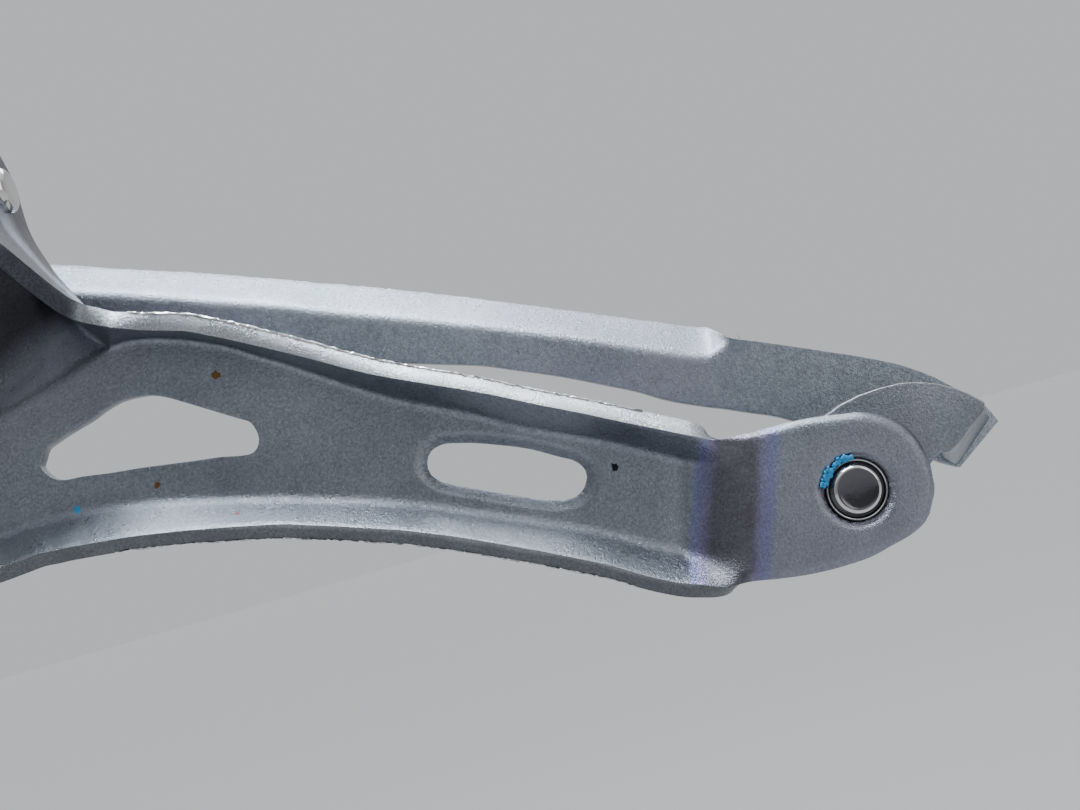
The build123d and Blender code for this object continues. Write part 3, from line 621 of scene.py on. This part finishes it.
cols = [[w, f2, f1, v, p3(a, WEB), p3(b, WEB), p3(c, CREST)] for w, f2, f1, v, a, b, c in FRONT]
dense = columns(cols, 0.36)
front = [profile(c, [6, 5, 5, 4, 38, 5], [0, 0.9, 0.9, 1.1, 0.5, 0.75, 0]) for c in dense]
seam = main[0]
keep = len(seam) - 10
lead = len(front[0]) - keep
for j in range(len(front[0])):
    if j >= lead:
        front[0][j] = seam[j - lead + 10]
    else:
        front[0][j] = seam[max(7, j - lead + 10)]
sheet.grid(front, flip=True)
# rear ear: front edge and back edge, up from the seam
RIM = [(-20.8, -13.2, -35.52), (-19.73, -13.2, -35.02), (-18.4, -13.1, -34.3), (-17.5, -12.2, -33.5), (-16.7, -10.9, -32.3), (-15.9, -9.3, -30.9), (-15.1, -7.5, -29.4), (-14.2, -6.2, -27.9), (-13.0, -4.9, -26.0), (-12.3, -4.0, -24.0), (-12.1, -3.7, -21.5), (-12.1, -4.6, -18.4), (-12.1, -6.8, -16.9)]
BACK = [(-19.68, -16.0, -36.63), (-18.7, -17.2, -35.6), (-17.4, -18.6, -34.2), (-16.3, -20.2, -32.6), (-15.4, -21.4, -31.2), (-14.5, -22.6, -29.8), (-13.7, -23.5, -28.4), (-13.1, -24.1, -27.0), (-12.5, -24.3, -25.2), (-12.2, -24.3, -23.6), (-12.1, -24.3, -21.5), (-12.1, -24.2, -19.4), (-12.1, -21.6, -16.9)]
ear_cols = [[p, q] for p, q in zip(RIM, BACK)]
dense = columns(ear_cols, 0.4)
ear = [[c[0] + (c[1] - c[0]) * t for t in np.linspace(0, 1, 8)] for c in dense]
first = [np.array(seam[j]) for j in range(8)]
for k in range(6):
    w = smoothstep(k / 6.0)
    ear[k] = [first[j] + (ear[0][j] - first[j]) * 0 + (np.array(ear[k][j]) - np.array(ear[0][j])) * 1.0 for j in range(8)] if k == 0 else [np.array(ear[k][j]) * w + (first[j] + np.array(ear[k][j]) - e0[j]) * (1 - w) for j in range(8)]
    if k == 0:
        e0 = [c for c in [dense[0][0] + (dense[0][1] - dense[0][0]) * t for t in np.linspace(0, 1, 8)]]
sheet.grid(ear, flip=True)

# dish round the slot and round the screw hole
slot_curve = closed_curve(SLOT, 120)
tri_curve = closed_curve(TRI, 150)
P = np.array(sheet.v)
d = poly_distance(P[:, [0, 2]], slot_curve)
near = (P[:, 0] < -36) & (P[:, 0] > -58) & (np.abs(P[:, 1] - WEB) < 0.4)
P[near, 1] -= 0.72 * (1 - np.clip(d[near] / 0.95, 0, 1)) ** 1.6
ds = np.hypot(P[:, 0] - SCREW[0], P[:, 2] - SCREW[1])
near = (ds < 4) & (P[:, 1] > -14.5)
P[near, 1] -= 0.42 * (1 - smoothstep((ds[near] - 2.5) / 0.62))
LOBE_LINE = np.array([(-60.5, -60.0)] + LOBE_TOP + LOBE_BOT[::-1][1:] + [(-58.0, -64.0)])
dl = -poly_distance(P[:, [0, 2]], LOBE_LINE)
fade = smoothstep((-61.6 - P[:, 0]) / 2.5)
near = (P[:, 0] < -61.6) & (P[:, 1] > -14.3) & (dl < 0.9)
q = 1 - np.clip(dl[near] / 0.9, 0, 1)
P[near, 1] -= 0.62 * (1 - np.sqrt(1 - 0.96 * q * q)) * fade[near]
sheet.v = [tuple(p) for p in P]

me = sheet.mesh("inner_plate_sheet")
inner = obj("inner_plate_pressing", me, M_PLATE, M_EDGE)
bm = bmesh.new()
bm.from_mesh(inner.data)
bmesh.ops.recalc_face_normals(bm, faces=bm.faces)
# the web must face the frame side
s = sum(f.normal.y * f.calc_area() for f in bm.faces)
if s < 0:
    bmesh.ops.reverse_faces(bm, faces=bm.faces)
bm.to_mesh(inner.data)
bm.free()
ring = np.array([(SCREW[0] + 2.5 * math.cos(a), SCREW[1] + 2.5 * math.sin(a)) for a in np.linspace(0, 2 * math.pi, 72, endpoint=False)])
open_hole(inner, tri_curve, -17.6, -14.0)
open_hole(inner, slot_curve, -17.6, -14.0)
open_hole(inner, ring, -14.6, -12.0)
thicken(inner, T)
soften(inner, 0.14, 2, 40)
apply(inner)
EAR_YZ = [(-25.3, -40.3), (-25.3, -19.6), (-22.5, -16.5), (-6.0, -16.95), (-3.7, -19.5), (-3.7, -26.0), (-13.0, -37.0), (-16.1, -41.9), (-17.3, -41.9)]
me = bpy.data.meshes.new("ear")
k = len(EAR_YZ)
me.from_pydata([(x * MM, y * MM, z * MM) for x in (12.1, 13.5) for y, z in EAR_YZ], [],
               [tuple(range(k)), tuple(reversed(range(k, 2 * k)))] + [(i, k + i, k + (i + 1) % k, (i + 1) % k) for i in range(k)])
bm = bmesh.new()
bm.from_mesh(me)
corners = [e for e in bm.edges if abs(e.verts[0].co.x - e.verts[1].co.x) > 0.001]
bmesh.ops.bevel(bm, geom=corners, offset=1.6 * MM, segments=6, profile=0.5, affect="EDGES")
bmesh.ops.recalc_face_normals(bm, faces=bm.faces)
for f in bm.faces:
    f.material_index = 0 if abs(f.normal.x) > 0.9 else 1
bm.to_mesh(me)
bm.free()
front_ear = obj("front_ear", me, M_PLATE, M_EDGE)
soften(front_ear, 0.2, 3, 40)
apply(front_ear)


def burr(line, radius, name, seed):
    """A torn burr: a thin bead that wanders along the edge."""
    r = random.Random(seed)
    pts = resample(line, int(sum(np.linalg.norm(np.diff(np.array(line), axis=0), axis=1)) / 0.22))
    pts = pts + np.array([[0.0, r.uniform(-1, 1) * 0.035, r.uniform(-1, 1) * 0.035] for _ in pts])
    o = obj(name, tube(pts, radius, 7, name), M_BURR)
    for v in o.data.vertices:
        v.co += Vector((r.uniform(-1, 1), r.uniform(-1, 1), r.uniform(-1, 1))) * 0.00003
    for p in o.data.polygons:
        p.use_smooth = True
    return o


def arris(edges, bends, up):
    e = np.array([(p[0], CREST, p[1]) for p in edges])
    w = np.array([(p[0], WEB, p[1]) for p in bends])
    n = np.cross(np.gradient(e, axis=0), e - w)
    n /= np.linalg.norm(n, axis=1)[:, None]
    if (n[:, 2].mean() > 0) != up:
        n = -n
    return e + n * (T - 0.03)


top_line = arris([c[0] for c in COLS[1:-2]], [c[1] for c in COLS[1:-2]], True)
low_line = arris([c[3] for c in COLS[:-2]], [c[2] for c in COLS[:-2]], False)
burrs = [burr(top_line, 0.08, "burr_top", 21), burr(low_line, 0.07, "burr_low", 22)]
inner = join("inner_plate_pressing", [inner, front_ear] + burrs)
shade(inner)
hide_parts("inner_cage_plate")
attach(inner, "cage")
print("inner", len(inner.data.polygons))


# ------------------------------------------------------------------ outer cage plate
OW, OE = -28.5, -31.5
OCOLS = [
    ((25.5, -25.0), (25.3, -27.6), (25.0, -47.0)),
    ((20.0, -21.6), (19.6, -24.4), (17.5, -46.0)),
    ((10.0, -20.8), (9.6, -23.8), (9.0, -43.0)),
    ((-1.34, -22.02), (-1.78, -25.18), (1.2, -40.32)),
    ((-8.29, -23.92), (-8.59, -26.95), (-5.42, -38.86)),
    ((-11.74, -24.98), (-11.96, -27.97), (-9.24, -38.11)),
    ((-15.16, -26.14), (-15.33, -28.99), (-13.05, -37.46)),
    ((-18.56, -27.37), (-18.67, -30.13), (-16.67, -37.52)),
    ((-21.97, -28.54), (-21.99, -31.34), (-20.27, -37.64)),
    ((-25.39, -29.71), (-25.29, -32.6), (-23.83, -37.93)),
    ((-28.77, -30.98), (-28.61, -33.79), (-27.26, -38.69)),
    ((-32.15, -32.27), (-31.93, -34.99), (-30.69, -39.46)),
    ((-35.53, -33.57), (-35.19, -36.4), (-34.06, -40.45)),
    ((-38.91, -34.83), (-38.49, -37.67), (-37.37, -41.66)),
    ((-42.28, -36.15), (-41.78, -38.94), (-40.69, -42.81)),
    ((-45.64, -37.51), (-45.06, -40.27), (-44.04, -43.89)),
    ((-48.97, -38.93), (-48.34, -41.6), (-47.38, -44.97)),
    ((-52.3, -40.37), (-51.6, -42.97), (-50.63, -46.38)),
    ((-55.63, -41.82), (-54.86, -44.38), (-53.86, -47.82)),
    ((-58.96, -43.27), (-58.09, -45.83), (-57.05, -49.45)),
    ((-62.28, -44.71), (-61.32, -47.33), (-60.21, -51.12)),
    ((-64.78, -45.79), (-63.74, -48.42), (-62.53, -52.56)),
    ((-67.28, -46.85), (-66.19, -49.45), (-64.94, -53.71)),
]
OUTER_TAIL = [(-65.0, -53.7), (-66.0, -49.5), (-66.76, -49.49), (-69.08, -48.62), (-73.45, -50.6), (-77.32, -52.35), (-83.15, -55.22), (-86.04, -57.51), (-88.97, -60.54), (-89.8, -62.2), (-89.7, -63.24), (-85.35, -65.24), (-82.23, -63.16), (-76.72, -60.22), (-71.79, -56.8), (-66.57, -54.39)]
HOOK_TAB = [(-72.56, -57.45), (-73.87, -56.98), (-75.61, -56.65), (-77.27, -56.56), (-78.89, -56.62), (-80.42, -56.97), (-81.88, -57.56), (-82.92, -58.18), (-83.92, -58.96), (-84.84, -59.96), (-84.68, -60.48), (-83.14, -61.51), (-82.27, -62.24), (-81.1, -62.88), (-80.3, -62.7), (-79.3, -63.4), (-77.5, -66.6), (-74.0, -68.0), (-70.2, -67.2), (-68.2, -64.0), (-68.6, -60.0)]


def prism(points, y0, y1, name, dense_step=0.5, jag=0.0, seed=1):
    """A flat pressed blank between y0 (far) and y1 (near), its outline broken up a little where jag is set."""
    r = random.Random(seed)
    pts = []
    n = len(points)
    for i in range(n):
        a, b = np.array(points[i]), np.array(points[(i + 1) % n])
        k = max(1, int(np.linalg.norm(b - a) / dense_step))
        for j in range(k):
            pts.append(a + (b - a) * j / k)
    pts = np.array(pts)
    c = pts.mean(axis=0)
    me = bpy.data.meshes.new(name)
    vs, fs, mats = [], [], []
    N = len(pts)
    rows = [(y0, 0.0), (y0 + 0.45 * (y1 - y0), 0.0), (y1 - 0.25 * (1 if y1 > y0 else -1), 0.0), (y1, 0.0)]
    inward = (c - pts) / np.linalg.norm(c - pts, axis=1)[:, None]
    for y, off in rows:
        for i, p in enumerate(pts):
            q = p + inward[i] * (off + jag * r.random())
            vs.append((q[0] * MM, y * MM, q[1] * MM))
    fs.append(tuple(range(N)))
    mats.append(0)
    fs.append(tuple(reversed(range(3 * N, 4 * N))))
    mats.append(0)
    for k in range(3):
        for i in range(N):
            j = (i + 1) % N
            fs.append((k * N + i, (k + 1) * N + i, (k + 1) * N + j, k * N + j))
            mats.append(1)
    me.from_pydata(vs, [], fs)
    for p, m in zip(me.polygons, mats):
        p.material_index = m
    bm = bmesh.new()
    bm.from_mesh(me)
    bmesh.ops.recalc_face_normals(bm, faces=bm.faces)
    bm.to_mesh(me)
    bm.free()
    return me


def loft4(sections, steps, name):
    """A strip of sheet metal through 4-corner sections (x, y, z), smooth along its length."""
    s = np.array(sections, float)
    d = np.r_[0, np.cumsum(np.linalg.norm(np.diff(s.mean(axis=1), axis=0), axis=1))]
    g = hermite(d, s.reshape(len(s), -1), np.linspace(0, d[-1], steps)).reshape(steps, 4, 3)
    rings = []
    for a, b, c, e in g:
        ring = []
        for p, q in ((a, b), (b, c), (c, e), (e, a)):
            k = 14 if np.linalg.norm(p - q) > 2.2 else 4
            for j in range(k):
                ring.append(p + (q - p) * j / k)
        rings.append(ring)
    m = min(len(r) for r in rings)
    rings = [resample(list(r) + [r[0]], m + 1)[:-1] if len(r) != m else np.array(r) for r in rings]
    vs = [tuple(np.array(p) * MM) for r in rings for p in r]
    fs = [tuple(range(m)), tuple(reversed(range((steps - 1) * m, steps * m)))]
    for i in range(steps - 1):
        for j in range(m):
            k = (j + 1) % m
            fs.append((i * m + j, (i + 1) * m + j, (i + 1) * m + k, i * m + k))
    me = bpy.data.meshes.new(name)
    me.from_pydata(vs, [], fs)
    bm = bmesh.new()
    bm.from_mesh(me)
    bmesh.ops.recalc_face_normals(bm, faces=bm.faces)
    bm.to_mesh(me)
    bm.free()
    return me


cols = [[(a[0], OE, a[1]), (b[0], OW, b[1]), (c[0], OW, c[1])] for a, b, c in OCOLS]
TAIL = [((-69.08, -48.62), (-66.7, -54.45)), ((-71.2, -49.6), (-69.0, -55.5)), ((-73.45, -50.6), (-71.3, -56.55)), ((-77.32, -52.35), (-75.2, -59.15)), ((-80.4, -53.8), (-78.0, -60.9)), ((-83.15, -55.3), (-80.6, -62.25)), ((-86.04, -57.55), (-82.9, -63.6)), ((-88.2, -59.8), (-84.2, -64.5)), ((-88.97, -60.6), (-84.7, -64.8)), ((-89.7, -62.2), (-85.3, -65.15))]
cols.append([(-67.88, OE + 0.05, -47.03), (-66.9, OW, -49.65), (-65.7, OW, -54.05)])
cols.append([(-68.5, -30.0, -47.85), (-67.6, OW, -49.5), (-66.2, OW, -54.25)])
for t, l in TAIL:
    t, l = np.array(t), np.array(l)
    m = t + (l - t) * 0.16
    cols.append([(t[0], OW, t[1]), (m[0], OW, m[1]), (l[0], OW, l[1])])
dense = columns(cols, 0.4)
sh = Sheet()
jr = random.Random(11)
rows = [profile(c, [6, 22], [0, 0.7, 0]) for c in dense]
# the flange edge is pulled in by a random amount from the sixth column on
for i, r in enumerate(rows):
    k = len(r)
    edge = r[0]
    if i > 4:
        r[0] = edge + (r[1] - edge) * 0.25 * jr.random()
sh.grid(rows)
me = sh.mesh("outer_web")
outer = obj("outer_plate_web", me, M_OUTER, M_EDGE)
bm = bmesh.new()
bm.from_mesh(outer.data)
bmesh.ops.recalc_face_normals(bm, faces=bm.faces)
if sum(f.normal.y * f.calc_area() for f in bm.faces) < 0:
    bmesh.ops.reverse_faces(bm, faces=bm.faces)
bm.to_mesh(outer.data)
bm.free()
thicken(outer, T)
# the tab and hook wall take the darker copy of the outer finish, painted shade
tab = obj("outer_plate_tab", prism(HOOK_TAB, -15.85, -14.45, "tab", 0.5, 0.0, 4), M_HOOK_SHADE, M_EDGE)
WALL = [
    [(-84.84, -14.45, -59.96), (-81.1, -14.45, -62.88), (-80.2, -14.75, -61.8), (-83.9, -14.75, -58.95)],
    [(-85.6, -16.6, -60.05), (-81.9, -16.6, -63.15), (-81.0, -16.9, -62.1), (-84.6, -16.9, -59.05)],
    [(-86.6, -21.0, -60.2), (-83.0, -21.0, -63.6), (-82.1, -21.0, -62.5), (-85.6, -21.0, -59.2)],
    [(-88.4, -26.4, -61.1), (-84.5, -26.4, -64.6), (-83.5, -26.4, -63.5), (-87.3, -26.4, -60.1)],
    [(-89.7, -29.9, -62.0), (-85.45, -29.9, -65.2), (-84.3, -29.9, -64.2), (-88.4, -29.9, -60.9)],
]
wall = obj("outer_plate_hook", loft4(WALL, 40, "hook"), M_HOOK_SHADE, M_EDGE)
bm = bmesh.new()
bmesh.ops.create_cube(bm, size=1.0)
for v in bm.verts:
    v.co = Vector((0.3 * MM + v.co.x * 23.0 * MM, -27.0 * MM + v.co.y * 3.1 * MM, -29.2 * MM + v.co.z * 4.4 * MM))
boss_me = bpy.data.meshes.new("boss")
bm.to_mesh(boss_me)
bm.free()
boss = obj("outer_plate_boss", boss_me, M_OUTER, M_EDGE)
for o in (outer, tab, wall, boss):
    soften(o, 0.16 if o is not wall else 0.35, 2, 40)
    apply(o)
outer = join("outer_plate_pressing", [outer, tab, wall, boss])
shade(outer)
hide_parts("outer_cage_plate")
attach(outer, "cage")


# ------------------------------------------------------------------ return spring
path = [(-6.0, -11.3, z) for z in np.linspace(-30.4, -22.6, 14)]
turns = 8.5
for a in np.linspace(0, 2 * math.pi * turns, int(turns * 40)):
    path.append((-6.0 + 12.0 * a / (2 * math.pi * turns), -8.0 - 3.3 * math.cos(a), -22.0 + 3.3 * math.sin(a)))
path += [(6.0, -4.7, z) for z in np.linspace(-21.4, -18.2, 7)]
spring = obj("coil_spring", tube(path, 0.5, 12, "coil"), M_SPRING)
for p in spring.data.polygons:
    p.use_smooth = True
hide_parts("return_spring")
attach(spring, "cage")

def lathe(prof, axis_x, axis_z, name, sides=72):
    """Turns the profile (radius, y) about an axis along Y."""
    vs, fs = [], []
    for r, y in prof:
        for k in range(sides):
            a = 2 * math.pi * k / sides
            vs.append(((axis_x + r * math.cos(a)) * MM, y * MM, (axis_z + r * math.sin(a)) * MM))
    for i in range(len(prof) - 1):
        for k in range(sides):
            l = (k + 1) % sides
            fs.append((i * sides + k, (i + 1) * sides + k, (i + 1) * sides + l, i * sides + l))
    me = bpy.data.meshes.new(name)
    me.from_pydata(vs, [], fs)
    bm = bmesh.new()
    bm.from_mesh(me)
    bmesh.ops.remove_doubles(bm, verts=bm.verts, dist=0.003 * MM)
    bmesh.ops.recalc_face_normals(bm, faces=bm.faces)
    bm.to_mesh(me)
    bm.free()
    return me


prof = [(0.001, -13.06), (0.6, -13.05), (1.3, -13.0), (1.52, -12.93), (1.62, -12.86), (1.72, -12.87), (1.84, -12.98), (2.0, -13.16), (2.16, -13.3), (2.22, -13.22), (2.30, -13.18), (2.38, -13.24), (2.44, -13.42)]
y = -13.6
while y > -15.6:
    prof += [(2.46, y), (2.22, y - 0.2), (2.46, y - 0.4)]
    y -= 0.42
prof += [(2.3, -15.86), (3.7, -15.87), (4.0, -15.95), (4.1, -16.15), (4.1, -17.5), (3.95, -17.95), (3.5, -18.22), (1.75, -18.25), (1.7, -17.3), (0.001, -17.2)]
screw = obj("tail_screw_turned", lathe(prof, SCREW[0], SCREW[1], "screw"), M_SCREW, M_PIN)
for p in screw.data.polygons:
    c = p.center
    r = math.hypot(c.x / MM - SCREW[0], c.z / MM - SCREW[1])
    if (1.60 < r < 1.80 or 2.24 < r < 2.34) and c.y > -13.4 * MM:
        p.material_index = 1
shade(screw)
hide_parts("cage_tail_screw")
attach(screw, "cage")

# thread-lock smear at the screw
RT, UPV = np.array((-0.96126, -0.27564)), np.array((-0.27526, 0.95994))
rl = random.Random(5)
bm = bmesh.new()
for i in range(64):
    a = math.radians(rl.uniform(100, 176))
    far = rl.random() ** 2
    r = 2.46 + 0.42 * far
    q = np.array(SCREW) + r * (math.cos(a) * RT + math.sin(a) * UPV)
    size = rl.uniform(0.10, 0.24) * (1 - 0.5 * far)
    mat = Matrix.Translation(Vector((q[0], -13.16 + 0.20 * far, q[1])) * MM) @ Matrix.Rotation(rl.uniform(0, 3), 4, "Y") @ Matrix.Diagonal((size * MM * rl.uniform(0.8, 1.7), 0.13 * MM, size * MM, 1))
    bmesh.ops.create_icosphere(bm, subdivisions=2, radius=1.0, matrix=mat)
me = bpy.data.meshes.new("smear")
bm.to_mesh(me)
bm.free()
lock = obj("thread_lock_smear", me, M_LOCK)
for p in lock.data.polygons:
    p.use_smooth = True
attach(lock, "cage")


# ------------------------------------------------------------------ CAD nodes
LOOK = {
    "inner_link": M_ALLOY, "outer_link": M_ALLOY, "mount_body": M_ALLOY,
    "cage_rivets": M_PIN, "inner_link_lower_pin": M_PIN, "outer_link_lower_pin": M_PIN, "inner_link_upper_pin": M_PIN, "outer_link_upper_pin": M_PIN,
    "cage_tail_screw": M_SCREW, "cable_anchor_washer": M_SCREW, "cable_anchor_bolt": M_SCREW, "low_limit_screw": M_SCREW, "high_limit_screw": M_SCREW,
    "lower_pin_clips": M_SCREW, "upper_pin_clips": M_SCREW,
    "limit_screw_retainer": M_NYLON, "lower_thrust_washers": M_NYLON, "upper_thrust_washers": M_NYLON, "spring_bush": M_NYLON,
    "inner_cage_plate": M_PLATE, "outer_cage_plate": M_OUTER, "return_spring": M_SPRING,
}
BEVEL = {"mount_body": 0.35, "inner_link": 0.3, "outer_link": 0.3}
for name, node in frame["nodes"].items():
    mat = LOOK.get(name, M_ALLOY)
    if len(node.material_slots) == 0:
        print("no slot", name)
    for s in node.material_slots:
        s.material = mat
    if node.hide_render:
        continue
    w = BEVEL.get(name, 0.12)
    b = node.modifiers.new("edge", "BEVEL")
    b.width = w * MM
    b.segments = 2
    b.limit_method = "ANGLE"
    b.angle_limit = math.radians(35)
    b.harden_normals = False


# ------------------------------------------------------------------ stage, light and camera
bpy.ops.mesh.primitive_plane_add(size=8, location=(0, 0, -0.16))
floor = bpy.context.object
floor.name = "floor"
m, nt, bsdf = new_mat("pale_floor")
bsdf.inputs["Base Color"].default_value = (0.12, 0.12, 0.12, 1)
bsdf.inputs["Roughness"].default_value = 0.9
bsdf.inputs["Emission Color"].default_value = (0.95, 0.965, 0.985, 1)
bsdf.inputs["Emission Strength"].default_value = 0.475
floor.data.materials.append(m)

world = bpy.data.worlds.new("studio")
bpy.context.scene.world = world
world.use_nodes = True
wn = world.node_tree
bg = wn.nodes["Background"]
tc = wn.nodes.new("ShaderNodeTexCoord")
sep = wn.nodes.new("ShaderNodeSeparateXYZ")
wn.links.new(tc.outputs["Generated"], sep.inputs["Vector"])
mr = wn.nodes.new("ShaderNodeMapRange")
mr.inputs["From Min"].default_value = 0.9
mr.inputs["From Max"].default_value = -0.4
mr.inputs["To Min"].default_value = 0.26
mr.inputs["To Max"].default_value = 0.60
wn.links.new(sep.outputs["Y"], mr.inputs["Value"])
up = wn.nodes.new("ShaderNodeMapRange")
up.inputs["From Min"].default_value = 0.45
up.inputs["From Max"].default_value = 1.0
up.inputs["To Min"].default_value = 0.0
up.inputs["To Max"].default_value = 1.1
wn.links.new(sep.outputs["Z"], up.inputs["Value"])
tot = wn.nodes.new("ShaderNodeMath")
tot.operation = "ADD"
wn.links.new(mr.outputs["Result"], tot.inputs[0])
wn.links.new(up.outputs["Result"], tot.inputs[1])
wn.links.new(tot.outputs[0], bg.inputs["Strength"])
bg.inputs["Color"].default_value = (0.95, 0.975, 1.0, 1)


def area(name, loc, target, size, power, color):
    l = bpy.data.lights.new(name, "AREA")
    l.shape = "RECTANGLE"
    l.size, l.size_y = size
    l.energy = power
    l.color = color
    o = bpy.data.objects.new(name, l)
    bpy.context.scene.collection.objects.link(o)
    o.location = loc
    o.rotation_euler = (Vector(target) - Vector(loc)).to_track_quat("-Z", "Y").to_euler()
    return o


C = (-0.035, -0.018, -0.045)
area("key_above", (-0.06, 0.06, 0.42), C, (0.26, 0.18), 3.7, (0.92, 0.96, 1.0))
area("rim_behind", (-0.12, -0.30, 0.30), C, (0.30, 0.12), 0.7, (0.94, 0.97, 1.0))
area("fill_side", (-0.38, 0.30, 0.10), C, (0.2, 0.3), 0.35, (1.0, 0.97, 0.94))

cam_data = bpy.data.cameras.new("camera")
cam = bpy.data.objects.new("camera", cam_data)
bpy.context.scene.collection.objects.link(cam)
R = Vector((-0.96126, 0.0, -0.27564)).normalized()
F = Vector((-0.01443, -0.99863, 0.05031)).normalized()
U = R.cross(F).normalized()
R = F.cross(U).normalized()
mw = Matrix.Identity(4)
for i in range(3):
    mw[i][0], mw[i][1], mw[i][2] = R[i], U[i], -F[i]
mw.translation = Vector((-49.564, 103.836, -56.456)) * MM
cam.matrix_world = mw
cam_data.sensor_width = 36
cam_data.lens = 50.4
cam_data.clip_start = 0.001
cam_data.clip_end = 20
bpy.context.scene.camera = cam
